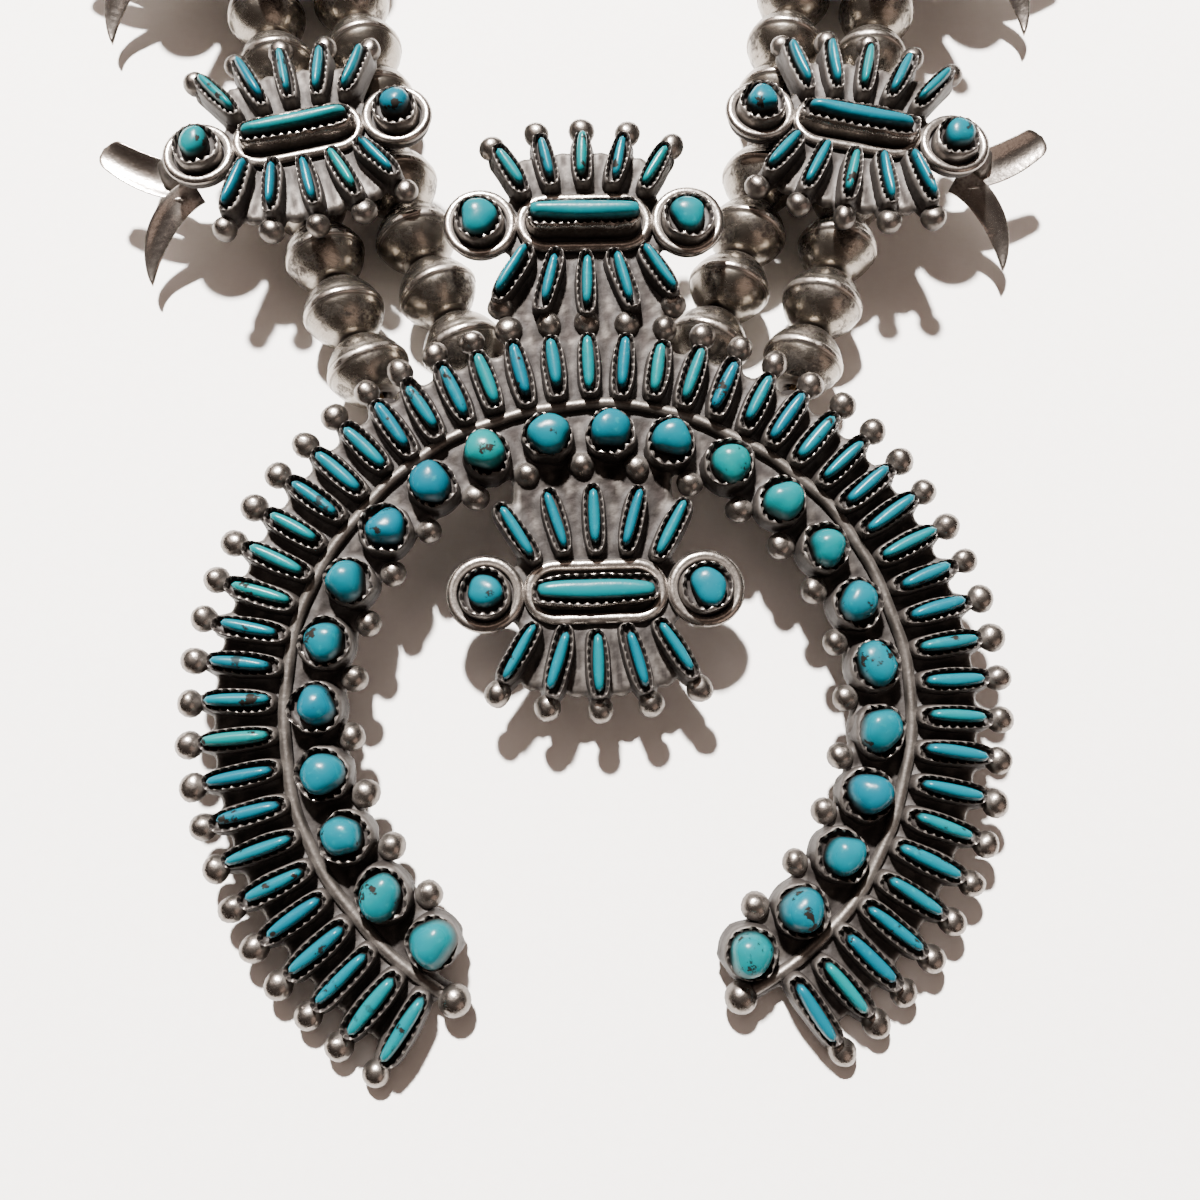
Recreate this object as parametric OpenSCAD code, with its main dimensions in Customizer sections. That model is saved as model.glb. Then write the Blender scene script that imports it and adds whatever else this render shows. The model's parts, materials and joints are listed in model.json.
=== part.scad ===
// Squash blossom necklace, lying on a table: a needlepoint crescent pendant, ten blossoms
// and two strands of drilled silver beads on each side, closed by a plain clasp.
// Millimetres, +Z up, the table at z = 0, the pendant towards -Y.

/* [Pendant] */
// Radius of the circle through the balls of the outer row
naja_r = 39.2; // [37:0.1:42]
// Angle from the crescent's top to its last needle
naja_half_angle = 147; // [120:1:148]
// Number of needle stones in the outer row
needle_count = 51; // [31:2:51]
// Number of round stones in the inner row
round_count = 23; // [13:2:23]
// Angle by which the round row is turned towards the right tip
round_lead = 4; // [0:0.5:4]
// Angle of the pendant to the table, its top raised over the beads
naja_tilt = 7.5; // [7:0.5:10]
// Thickness of the silver back plate
plate_t = 1.0; // [0.8:0.1:1.4]
// Diameter of the soldered balls
ball_d = 2.5; // [2:0.1:2.6]
// Diameter of the ridge wire between the two rows
ridge_d = 1.25; // [0.9:0.05:1.5]
// Diameter of the ball at each end of the ridge wire
ridge_ball_d = 3.1; // [2.6:0.1:3.6]
// Distance of the top cluster's centre from the crescent's centre
top_cluster_y = 50.1; // [49.6:0.1:52]
// Distance of the drop cluster's centre from the crescent's centre
drop_cluster_y = 10.9; // [9:0.1:11.4]

/* [Stones and bezels] */
// Length of a needle stone at the crescent's tips
needle_tip_l = 6.0; // [5.2:0.1:6.1]
// Length of a needle stone at the crescent's top
needle_top_l = 5.2; // [4.4:0.1:6]
// Width of a needle stone
needle_w = 1.25; // [1:0.05:1.4]
// Width of the silver left round a needle stone, at its sides and its points
needle_rim = 0.42; // [0.3:0.02:0.5]
// Diameter of the crescent's round stones
round_d = 3.8; // [3:0.1:4]
// Diameter of a cluster's two round stones
side_round_d = 3.8; // [3:0.1:4]
// Length of a cluster's bar stone
bar_l = 11; // [9:0.1:11.2]
// Width of a cluster's bar stone
bar_w = 1.9; // [1.4:0.1:2.2]
// Wall of the round and bar bezels
bezel_wall = 0.4; // [0.3:0.02:0.5]
// Height of the needle bezels above the plate
needle_bezel_h = 2.6; // [1.8:0.1:3]
// Height of the crescent's round bezels above the plate
round_bezel_h = 2.9; // [2:0.1:3.4]
// Height of a cluster's side bezels above the plate
side_bezel_h = 2.3; // [1.6:0.1:3]
// Height of a bar bezel above the plate
bar_bezel_h = 3.1; // [2.2:0.1:3.6]
// Height of a stone's dome above its bezel
dome_h = 0.85; // [0.5:0.05:1.1]
// Clearance between a stone and its bezel
stone_gap = 0.08; // [0.05:0.01:0.12]

/* [Clusters] */
// Distance from a cluster's centre to its round stones
cluster_half = 10.85; // [10.6:0.05:11.4]
// Length of the oval wire frame round the bar
oval_l = 13.6; // [13.2:0.1:13.8]
// Width of the oval wire frame
oval_w = 6.0; // [5.2:0.1:6.4]
// Thickness of the frame and rim wires
rim_wire_d = 0.85; // [0.6:0.05:1]
// Outer diameter of the wire rim round a side bezel
rim_d = 7.5; // [7:0.1:7.6]
// Distance between the needles of a fan, along the cluster
fan_pitch = 3.78; // [3.5:0.01:4]
// Angle between the needles of a fan
fan_step = 15; // [10:1:17]
// Length of a cluster's needle stones
fan_l = 5.5; // [4.6:0.1:5.8]
// Length of the shorter needle stones above the top cluster
fan_short_l = 4.6; // [4:0.1:5.4]
// Gap between the oval frame and a fan's middle needle
fan_gap = 0.85; // [0.5:0.05:1.2]

/* [Blossoms] */
// Number of blossoms on each side
blossoms_per_side = 5; // [1:1:5]
// Length of a blossom's shank tube along the strand
shank_l = 4.3; // [3.8:0.1:6]
// Outer diameter of a shank tube
shank_d = 4.6; // [3.6:0.1:5]
// How far a blossom's face stands outside the middle of the strands
blossom_out = 4.0; // [2:0.1:4.5]
// How far a blossom's face hangs from its shank towards the pendant
blossom_down = 2.0; // [1:0.1:2.5]
// Diameter of the stem that carries the petals
stem_d = 3.0; // [2.2:0.1:3.4]
// Height of the stem above the table
stem_z = 6.2; // [6.1:0.1:6.6]
// Distance from a blossom's centre to where its petals open
petal_start = 14.6; // [14.2:0.1:17]
// Reach of the petal that points to the pendant, from the stem's axis
petal_long = 7.8; // [7:0.1:8.4]
// Reach of the two other petals
petal_short = 6.6; // [5.4:0.1:6.6]
// Thickness of a petal
petal_t = 0.65; // [0.5:0.05:0.9]

/* [Strands] */
// Diameter of a bead
bead_d = 9.0; // [8.4:0.1:9.2]
// Thickness of a bead along the strand
bead_t = 7.4; // [6.4:0.1:7.8]
// Gap between two beads on the straight stretches
bead_gap = 0.13; // [0.12:0.01:0.2]
// Diameter of the hole drilled through the beads, shanks and clasp
bore_d = 1.8; // [1.6:0.1:2]
// Diameter of the thread
thread_d = 0.7; // [0.5:0.1:0.8]
// Distance between the two strands of a side
strand_gap = 10.3; // [10:0.1:11]
// Beads between the pendant and the first blossom
first_beads = 4; // [3:1:5]
// Beads between two blossoms
between_beads = 4; // [2:1:4]
// Length of each side from the first blossom to where the back curve starts
side_l = 170; // [160:1:190]
// Lean of a side out from straight up, at the pendant
lean_start = 23; // [20:1:26]
// Lean of a side at its first blossom
lean_first = 13; // [10:1:16]
// Lean of a side where the back curve starts
lean_back = 10; // [6:1:12]

/* [Clasp] */
// Length of the clasp along the strands
clasp_l = 20; // [16:1:26]
// Width of the clasp across the strands
clasp_w = 17; // [16:0.5:20]
// Height of the clasp above the table
clasp_h = 7.5; // [7:0.5:10]

/* [Hidden] */
ROUND_STONES = [for (i = [1:round_count]) str("round_stone_", i < 10 ? "0" : "", i)];
BLOSSOMS = [for (s = ["left", "right"], i = [1:blossoms_per_side]) str("blossom_", s, "_", i)];
BLOSSOM_STONES = [for (b = BLOSSOMS) str(b, "_stones")];
STRANDS = ["strand_inner_left", "strand_outer_left", "strand_inner_right", "strand_outer_right"];

silver = "#8d8981";
bead_silver = "#9a948a";
turquoise = "#2fa9bb";
thread_colour = "#8a6a45";

// Overlap by which soldered forms sink into each other
bite = 0.3;
// Points round a leaf outline, and how full its two kinds are
leaf_points = 8;
stone_full = 0.8;
bezel_full = 0.6;
thread_sides = 6;

// Radii of the crescent, each row set against the next one
needle_out_r = naja_r - ball_d / 2 - 0.1;
ridge_r = needle_out_r - needle_tip_l - 2 * needle_rim - 0.1 - ridge_d / 2;
round_bezel_d = round_d + 2 * (stone_gap + bezel_wall);
round_ring_r = ridge_r - ridge_d / 2 - 0.4 - round_bezel_d / 2;
inner_ball_r = round_ring_r - round_bezel_d / 2 - 0.6;
band_in_r = inner_ball_r + 0.6;
band_out_r = needle_out_r - 1.4;
needle_step = 2 * naja_half_angle / (needle_count - 1);
round_step = 2 * naja_half_angle / (round_count - 1);
round_first = round_lead - naja_half_angle;
ridge_left = naja_half_angle + 5.2;
ridge_right = ridge_left + round_lead;
// Width of the strip of plate under a needle, and of its end inside the ball
strip_w = needle_w + 2 * needle_rim + 0.1;
tip_w = 0.5 * ball_d;
web_r = 0.55;
side_ball_x = 8.9;
bridge_w = 16.4;

// Heights of the pendant's plane: its two lowest balls touch the table
naja_lift = ball_d / 2 - plate_t * cos(naja_tilt) - naja_r * cos(naja_half_angle) * sin(naja_tilt);

// Forms of a cluster
side_bezel_d = side_round_d + 2 * (stone_gap + bezel_wall);
side_ball_y = naja_r + 1.7;

// Route of the middle line of the right side's two strands, from the pendant to the clasp
strand_angle = 25.6;
strand_start = (naja_r + 3.4) * [sin(strand_angle), cos(strand_angle)];
bead_pitch = bead_t + bead_gap;
half_shank = shank_l / 2 + bead_gap + bead_t / 2;
first_l = (first_beads - 1) * bead_pitch + half_shank;
blossom_pitch = (between_beads - 1) * bead_pitch + 2 * half_shank;
turn_1 = lean_start - lean_first;
turn_2 = lean_first - lean_back;
turn_3 = lean_back + 90;
bead_z = bead_d / 2;
bead_end_r = 1.3;
blossom_z = bead_d + 0.3;
tube_back = bead_t / 2 + 2.4 + shank_l / 2;
half_gap = strand_gap / 2;

function rad(a) = a * PI / 180;
function from_lean(a) = [sin(a), cos(a)];

// Point and lean after a length t of an arc that turns k degrees a millimetre
function arc_point(p, a, k, t) =
    abs(k) < 1e-6 ? p + t * from_lean(a)
    : p + [cos(a - k * t) - cos(a), sin(a) - sin(a - k * t)] / rad(k);

mid_1 = arc_point(strand_start, lean_start, turn_1 / first_l, first_l);
mid_2 = arc_point(mid_1, lean_first, turn_2 / side_l, side_l);
back_r = (mid_2[0] - clasp_l / 2) / cos(lean_back);
back_y = mid_2[1] + back_r * (sin(lean_back) + 1);

// Lengths and start of a strand that lies d outside the middle line
function length_1(d) = first_l + d * rad(turn_1);
function length_2(d) = side_l + d * rad(turn_2);
function length_3(d) = (back_r + d) * rad(turn_3);
function start_of(d) = strand_start + d * [cos(lean_start), -sin(lean_start)];
function end_1(d) = mid_1 + d * [cos(lean_first), -sin(lean_first)];
function end_2(d) = mid_2 + d * [cos(lean_back), -sin(lean_back)];
function strand_l(d) = length_1(d) + length_2(d) + length_3(d);
function lean_at(d, t) =
    t < 0 ? lean_start
    : t < length_1(d) ? lean_start - turn_1 * t / length_1(d)
    : t < length_1(d) + length_2(d) ? lean_first - turn_2 * (t - length_1(d)) / length_2(d)
    : lean_back - turn_3 * (t - length_1(d) - length_2(d)) / length_3(d);
function point_at(d, t) =
    t < 0 ? arc_point(start_of(d), lean_start, 0, t)
    : t < length_1(d) ? arc_point(start_of(d), lean_start, turn_1 / length_1(d), t)
    : t < length_1(d) + length_2(d)
        ? arc_point(end_1(d), lean_first, turn_2 / length_2(d), t - length_1(d))
    : arc_point(end_2(d), lean_back, turn_3 / length_3(d), t - length_1(d) - length_2(d));

// Where blossom k, counted from 0, sits along a strand
function station(d, k) = length_1(d) + k * blossom_pitch * (1 + d * rad(turn_2) / side_l);

// Bead centres along a strand: before the first blossom, between blossoms, and round the back
last_station = blossoms_per_side - 1;
function plain_l(d) = strand_l(d) - station(d, last_station) - shank_l / 2 - bead_gap;
function plain_pitch(d) = bead_pitch + 2 * bead_end_r * sin(bead_pitch / rad(back_r + d) / 2);
function plain_count(d) = floor(plain_l(d) / plain_pitch(d));
function between_step(d) =
    (station(d, 1) - station(d, 0) - 2 * half_shank) / max(between_beads - 1, 1);
function bead_places(d) = concat(
    [for (i = [first_beads - 1:-1:0]) station(d, 0) - half_shank - i * bead_pitch],
    [for (k = [0:1:last_station - 1], i = [0:between_beads - 1])
        station(d, k) + half_shank + i * between_step(d)],
    [for (i = [0:plain_count(d) - 1])
        station(d, last_station) + shank_l / 2 + bead_gap
            + (i + 0.5) * plain_l(d) / plain_count(d)]);

// The whole is moved so that the origin is the middle of its footprint
low_y = -naja_r * cos(180 - naja_half_angle) * cos(naja_tilt) - ball_d / 2
    - plate_t * sin(naja_tilt);
last_bead_drop = bead_pitch * bead_pitch / 8 / (back_r + half_gap);
high_y = back_y + max(half_gap + bead_d / 2 - last_bead_drop, clasp_w / 2);
origin_y = (low_y + high_y) / 2;

// A leaf outline, pointed at both ends of its long Y axis
function leaf(l, w, full) = [
    for (i = [0:leaf_points - 1])
        let (a = 360 * i / leaf_points, s = sin(a))
        [sign(s) * w / 2 * pow(abs(s), full), l / 2 * cos(a)]];
function needle_angle(i) = -naja_half_angle + i * needle_step;
function needle_l(i) =
    needle_top_l + (needle_tip_l - needle_top_l) * abs(needle_angle(i)) / naja_half_angle;
function needle_mid_r(i) = ridge_r + ridge_d / 2 + 0.1 + needle_rim + needle_l(i) / 2;
function fan_y(l, i) = oval_w / 2 + fan_gap + needle_rim + l / 2 - 0.32 * i * i;
function ball_reach(l) = l / 2 + needle_rim + ball_d / 2 - 0.1;

module around(a, r) {
    rotate(-a)
        translate([0, r])
            children();
}

// Puts children on needle i, from -2 to 2, of the fan on one side of a cluster
module on_fan(l, side, i) {
    mirror([0, side < 0 ? 1 : 0, 0])
        translate([i * fan_pitch, fan_y(l, i)])
            rotate(-i * fan_step)
                children();
}

module ring_sector(r1, r2, a1, a2) {
    steps = ceil((a2 - a1) / 3);
    polygon(concat(
        [for (k = [0:steps]) r2 * from_lean(a1 + (a2 - a1) * k / steps)],
        [for (k = [steps:-1:0]) r1 * from_lean(a1 + (a2 - a1) * k / steps)]));
}

module stadium(l, w) {
    square([l - w, w], center = true);
    for (s = [-1, 1])
        translate([s * (l - w) / 2, 0])
            circle(d = w, $fn = 32);
}

module stone_leaf(l) {
    polygon(leaf(l + 2 * stone_gap, needle_w + 2 * stone_gap, stone_full));
}

module bezel_leaf(l) {
    polygon(leaf(l + 2 * needle_rim, needle_w + 2 * needle_rim, bezel_full));
}

// A strip of plate that narrows to end inside a ball
module strip(y0, y1, y2) {
    polygon([
        [-strip_w / 2, y0], [-strip_w / 2, y1], [-tip_w / 2, y2],
        [tip_w / 2, y2], [strip_w / 2, y1], [strip_w / 2, y0]]);
}

// Outline of a cluster's plate: strips under the needles, a middle and two round lugs
module cluster_outline(up_l, down_l) {
    square([2 * cluster_half, 3], center = true);
    square([4.4 * fan_pitch, oval_w + 2 * fan_gap + 2.6], center = true);
    for (s = [-1, 1]) {
        translate([s * cluster_half, 0])
            circle(d = rim_d - rim_wire_d / 2, $fn = 24);
        for (i = [-2:2])
            let (l = s > 0 ? up_l : down_l)
            on_fan(l, s, i)
                strip(-l / 2, l / 2 + needle_rim, l / 2 + needle_rim + 0.3);
    }
}

module fan_tabs(l, side) {
    for (i = [-2:2])
        on_fan(l, side, i)
            strip(-l / 2, l / 2 + needle_rim, ball_reach(l));
}

module fan_balls(l, side) {
    for (i = [-2:2])
        on_fan(l, side, i)
            translate([0, ball_reach(l), plate_t])
                sphere(d = ball_d, $fn = 32);
}

module fan_bezels(l, side) {
    translate([0, 0, plate_t - bite])
        linear_extrude(needle_bezel_h + bite)
            for (i = [-2:2])
                on_fan(l, side, i)
                    bezel_leaf(l);
}

module round_bezel(d, h) {
    translate([0, 0, plate_t - bite])
        difference() {
            cylinder(d = d + 2 * (stone_gap + bezel_wall), h = h + bite, $fn = 48);
            translate([0, 0, -1])
                cylinder(d = d + 2 * stone_gap, h = h + bite + 2, $fn = 48);
        }
}

// What stands on a cluster's plate, apart from its balls
module cluster_tops(up_l, down_l) {
    fan_bezels(up_l, 1);
    fan_bezels(down_l, -1);
    translate([0, 0, plate_t - bite])
        linear_extrude(bar_bezel_h + bite)
            difference() {
                stadium(bar_l + 2 * (stone_gap + bezel_wall), bar_w + 2 * (stone_gap + bezel_wall));
                stadium(bar_l + 2 * stone_gap, bar_w + 2 * stone_gap);
            }
    translate([0, 0, plate_t - bite])
        linear_extrude(rim_wire_d + bite)
            difference() {
                stadium(oval_l, oval_w);
                stadium(oval_l - 2 * rim_wire_d, oval_w - 2 * rim_wire_d);
            }
    for (s = [-1, 1])
        translate([s * cluster_half, 0, 0]) {
            round_bezel(side_round_d, side_bezel_h);
            translate([0, 0, plate_t])
                rotate_extrude($fn = 64)
                    translate([(rim_d - rim_wire_d) / 2, 0])
                        circle(d = rim_wire_d, $fn = 24);
        }
}

module round_stone(d, h) {
    r = d / 2;
    dome_r = (r * r + dome_h * dome_h) / (2 * dome_h);
    top = plate_t + h - 0.3 + dome_h;
    intersection() {
        translate([0, 0, plate_t + stone_gap])
            cylinder(r = r, h = h + dome_h, $fn = 48);
        translate([0, 0, top - dome_r])
            sphere(r = dome_r, $fn = 96);
    }
}

module bar_stone() {
    dome_r = (bar_w * bar_w / 4 + dome_h * dome_h) / (2 * dome_h);
    top = plate_t + bar_bezel_h - 0.3 + dome_h;
    intersection() {
        translate([0, 0, plate_t + stone_gap])
            linear_extrude(bar_bezel_h + dome_h)
                stadium(bar_l, bar_w);
        translate([0, 0, top - dome_r])
            rotate([0, 90, 0])
                cylinder(r = dome_r, h = bar_l + 1, center = true, $fn = 64);
        translate([-bar_l, -bar_w, plate_t + stone_gap])
            cube([2 * bar_l, 2 * bar_w, bar_bezel_h + dome_h]);
    }
}

module cluster_stones() {
    color(turquoise) {
        bar_stone();
        for (s = [-1, 1])
            translate([s * cluster_half, 0, 0])
                round_stone(side_round_d, side_bezel_h);
    }
}

// A needle stone: straight sides in its bezel and a crowned top
module needle_stone(l) {
    n = leaf_points;
    rings = [
        [for (p = leaf(l, needle_w, stone_full)) [p[0], p[1], plate_t + stone_gap]],
        [for (p = leaf(l, needle_w, stone_full)) [p[0], p[1], plate_t + needle_bezel_h - 0.3]],
        [for (p = leaf(0.7 * l, 0.5 * needle_w, stone_full))
            [p[0], p[1], plate_t + needle_bezel_h - 0.3 + dome_h]]];
    polyhedron(
        points = [for (r = rings, p = r) p],
        faces = concat(
            [[for (i = [n - 1:-1:0]) i], [for (i = [0:n - 1]) 2 * n + i]],
            [for (k = [0, 1], i = [0:n - 1])
                let (j = (i + 1) % n)
                [k * n + i, k * n + j, k * n + n + j, k * n + n + i]]));
}

// Outline of the pendant's plate, its notches rounded
module naja_outline() {
    offset(r = -web_r, $fn = 8)
        offset(delta = web_r) {
            ring_sector(band_in_r, band_out_r, -naja_half_angle - 2.6, naja_half_angle + 2.6);
            ring_sector(ridge_r - 1.8, ridge_r + 0.6, -ridge_left, ridge_right);
            for (i = [0:needle_count - 1])
                around(needle_angle(i), ridge_r)
                    strip(0, needle_l(i) + 2 * needle_rim + 0.6, naja_r - ridge_r);
            for (i = [0:round_count - 1])
                around(round_first + i * round_step, round_ring_r)
                    circle(d = round_bezel_d + 0.3, $fn = 16);
            for (i = [0:round_count - 2])
                around(round_first + (i + 0.5) * round_step, inner_ball_r)
                    mirror([0, 1, 0])
                        strip(-2, -0.8, 0);
            for (a = [-ridge_left, ridge_right])
                around(a, ridge_r)
                    circle(d = ridge_ball_d - 0.6, $fn = 16);
            translate([0, top_cluster_y]) {
                cluster_outline(fan_short_l, fan_l);
                fan_tabs(fan_short_l, 1);
            }
            translate([0, drop_cluster_y]) {
                cluster_outline(fan_l, fan_l);
                fan_tabs(fan_l, -1);
            }
            translate([-bridge_w / 2, band_out_r - 4])
                square([bridge_w, top_cluster_y - band_out_r - 2]);
            for (s = [-1, 1])
                translate([s * side_ball_x, side_ball_y])
                    circle(d = tip_w, $fn = 8);
            translate([-bridge_w / 2, drop_cluster_y + fan_y(fan_l, 0)])
                square([bridge_w, band_in_r + 1 - drop_cluster_y - fan_y(fan_l, 0)]);
        }
}

module naja_balls() {
    translate([0, 0, plate_t]) {
        for (i = [0:needle_count - 1])
            around(needle_angle(i), naja_r)
                sphere(d = ball_d, $fn = 32);
        for (i = [0:round_count - 2])
            around(round_first + (i + 0.5) * round_step, inner_ball_r)
                sphere(d = ball_d - 0.1, $fn = 32);
        for (s = [-1, 1])
            translate([s * side_ball_x, side_ball_y])
                sphere(d = ball_d, $fn = 32);
    }
    translate([0, top_cluster_y])
        fan_balls(fan_short_l, 1);
    translate([0, drop_cluster_y])
        fan_balls(fan_l, -1);
}

module naja_ridge() {
    translate([0, 0, plate_t + 0.2]) {
        rotate(90 - ridge_right)
            rotate_extrude(angle = ridge_left + ridge_right, $fn = 180)
                translate([ridge_r, 0])
                    circle(d = ridge_d, $fn = 24);
        for (a = [-ridge_left, ridge_right])
            around(a, ridge_r)
                sphere(d = ridge_ball_d, $fn = 32);
    }
}

module naja_bezels() {
    translate([0, 0, plate_t - bite])
        linear_extrude(needle_bezel_h + bite)
            for (i = [0:needle_count - 1])
                around(needle_angle(i), needle_mid_r(i))
                    difference() {
                        bezel_leaf(needle_l(i));
                        stone_leaf(needle_l(i));
                    }
    for (i = [0:round_count - 1])
        around(round_first + i * round_step, round_ring_r)
            round_bezel(round_d, round_bezel_h);
}

// The pendant's own plane, tilted with its lower balls on the table
module on_naja() {
    translate([0, -origin_y, naja_lift])
        rotate([naja_tilt, 0, 0])
            children();
}

// Places children on the middle of a strand, with Y along it and X to the outside
module on_strand(d, t) {
    p = point_at(d, t);
    translate([p[0], p[1] - origin_y, 0])
        rotate(-lean_at(d, t))
            children();
}

// A tube for a thread with a post up to the plate it is soldered to
module shank_tube(post_top) {
    difference() {
        union() {
            translate([0, 0, bead_z])
                rotate([90, 0, 0])
                    cylinder(d = shank_d, h = shank_l, center = true, $fn = 48);
            translate([-1.5, -1.7, bead_z])
                cube([3, 3.4, post_top - bead_z]);
        }
        translate([0, 0, bead_z])
            rotate([90, 0, 0])
                cylinder(d = bore_d, h = shank_l + 2, center = true, $fn = 32);
    }
}

module naja_silver() {
    color(silver) {
        on_naja() {
            linear_extrude(plate_t)
                naja_outline();
            naja_bezels();
            naja_ridge();
            naja_balls();
            translate([0, top_cluster_y])
                cluster_tops(fan_short_l, fan_l);
            translate([0, drop_cluster_y])
                cluster_tops(fan_l, fan_l);
        }
        for (m = [0, 1], d = [-half_gap, half_gap])
            let (p = point_at(d, -tube_back))
            mirror([m, 0, 0])
                on_strand(d, -tube_back)
                    shank_tube(naja_lift + p[1] * tan(naja_tilt) + 0.5 * plate_t);
    }
}

module needle_stones() {
    color(turquoise)
        on_naja()
            for (i = [0:needle_count - 1])
                around(needle_angle(i), needle_mid_r(i))
                    needle_stone(needle_l(i));
}

module naja_round_stone(i) {
    color(turquoise)
        on_naja()
            around(round_first + i * round_step, round_ring_r)
                round_stone(round_d, round_bezel_h);
}

// Petals: a flared trumpet along X, cut into three pointed leaves
module petals() {
    flare_r = petal_long - stem_d / 2;
    intersection() {
        rotate([0, 90, 0])
            rotate_extrude($fn = 64)
                intersection() {
                    translate([petal_long, 0])
                        difference() {
                            circle(r = flare_r, $fn = 96);
                            circle(r = flare_r - petal_t, $fn = 96);
                        }
                    square([petal_long, flare_r]);
                }
        for (p = [[-90, petal_long], [30, petal_short], [150, petal_short]])
            rotate([-p[0], 0, 0])
                translate([-1, 0, p[1] / 2 - 0.6])
                    rotate([90, 0, 90])
                        linear_extrude(flare_r + 2)
                            polygon(leaf(p[1] + 1.2, 5, bezel_full));
    }
}

// A blossom seen from above: X to the outside, Y along the strands away from the pendant
module blossom() {
    translate([blossom_out, -blossom_down, blossom_z]) {
        linear_extrude(plate_t)
            offset(r = -web_r, $fn = 8)
                offset(delta = web_r) {
                    cluster_outline(fan_l, fan_l);
                    fan_tabs(fan_l, 1);
                    fan_tabs(fan_l, -1);
                }
        cluster_tops(fan_l, fan_l);
        fan_balls(fan_l, 1);
        fan_balls(fan_l, -1);
    }
    for (d = [-half_gap, half_gap])
        translate([d, 0, 0])
            shank_tube(blossom_z + 0.5 * plate_t);
    translate([half_gap + bore_d / 2 + 0.4, 0, stem_z])
        rotate([0, 90, 0])
            cylinder(d = stem_d, h = blossom_out + petal_start - half_gap - bore_d / 2 - 0.4, $fn = 48);
    translate([blossom_out + petal_start, 0, stem_z]) {
        rotate([0, 90, 0])
            cylinder(d = stem_d + 0.8, h = 2.4, center = true, $fn = 48);
        petals();
    }
}

module on_station(side, k) {
    mirror([side == "left" ? 1 : 0, 0, 0])
        on_strand(0, station(0, k))
            children();
}

module bead() {
    bulge_r = bead_t / 2 + 0.05;
    mid = bead_d / 2 - bulge_r;
    rise = [for (k = [0:6]) asin(bead_t / 2 / bulge_r) - k * asin(bead_t / 2 / bulge_r) / 3];
    rotate([90, 0, 0])
        rotate_extrude($fn = 48)
            polygon(concat(
                [[bore_d / 2, bead_t / 2]],
                [[bead_end_r, bead_t / 2]],
                [for (a = rise) if (abs(a) < 80) [mid + bulge_r * cos(a), bulge_r * sin(a)]],
                [[bead_end_r, -bead_t / 2]],
                [[bore_d / 2, -bead_t / 2]]));
}

module strand(side, d) {
    color(bead_silver)
        mirror([side == "left" ? 1 : 0, 0, 0])
            for (t = bead_places(d))
                on_strand(d, t)
                    translate([0, 0, bead_z])
                        bead();
}

// One thread, from inside the pendant's tube to inside the clasp, as a swept tube
module thread(d) {
    n = thread_sides;
    ts = concat(
        [-tube_back - shank_l / 3],
        [for (k = [0:3]) k * length_1(d) / 4],
        [for (k = [0:7]) length_1(d) + k * length_2(d) / 8],
        [for (k = [0:16]) length_1(d) + length_2(d) + k * length_3(d) / 16]);
    last = len(ts) - 1;
    ring = function (p, a) [
        for (i = [0:n - 1])
            let (u = thread_d / 2 * cos(360 * i / n), v = thread_d / 2 * sin(360 * i / n))
            [p[0] + u * cos(a), p[1] - origin_y - u * sin(a), bead_z + v]];
    rings = concat(
        [for (t = ts) ring(point_at(d, t), lean_at(d, t))],
        [ring(point_at(d, ts[last]) + 2 * from_lean(-90), -90)]);
    polyhedron(
        points = [for (r = rings, p = r) p],
        faces = concat(
            [[for (i = [0:n - 1]) i], [for (i = [n - 1:-1:0]) (last + 1) * n + i]],
            [for (k = [0:last], i = [0:n - 1])
                let (j = (i + 1) % n)
                [k * n + i, k * n + n + i, k * n + n + j, k * n + j]]));
}

module threads() {
    color(thread_colour)
        for (m = [0, 1], d = [-half_gap, half_gap])
            mirror([m, 0, 0])
                thread(d);
}

module clasp() {
    color(silver)
        translate([0, back_y - origin_y, 0])
            difference() {
                linear_extrude(clasp_h)
                    offset(r = 2, $fn = 32)
                        square([clasp_l - 4, clasp_w - 4], center = true);
                for (s = [-1, 1], d = [-half_gap, half_gap])
                    translate([s * clasp_l / 2, d, bead_z])
                        rotate([0, 90, 0])
                            cylinder(d = bore_d, h = 6, center = true, $fn = 32);
            }
}

naja_silver();
needle_stones();
on_naja() translate([0, top_cluster_y]) cluster_stones();  // top_cluster_stones
on_naja() translate([0, drop_cluster_y]) cluster_stones();  // drop_cluster_stones
for (i = [0:round_count - 1])
    naja_round_stone(i);
for (s = ["left", "right"], k = [0:blossoms_per_side - 1])
    let (name = str("blossom_", s, "_", k + 1)) {
        color(silver) on_station(s, k) blossom();
        on_station(s, k)
                translate([blossom_out, -blossom_down, blossom_z]) cluster_stones();
    }
for (s = ["left", "right"]) {
    strand(s, -half_gap);
    strand(s, half_gap);
}
threads();
clasp();
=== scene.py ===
"""Looks of a squash blossom necklace of oxidised silver and turquoise, lying on a pale table."""
import json
import math

import bmesh
import bpy
import numpy as np
from mathutils import Matrix, Vector

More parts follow.
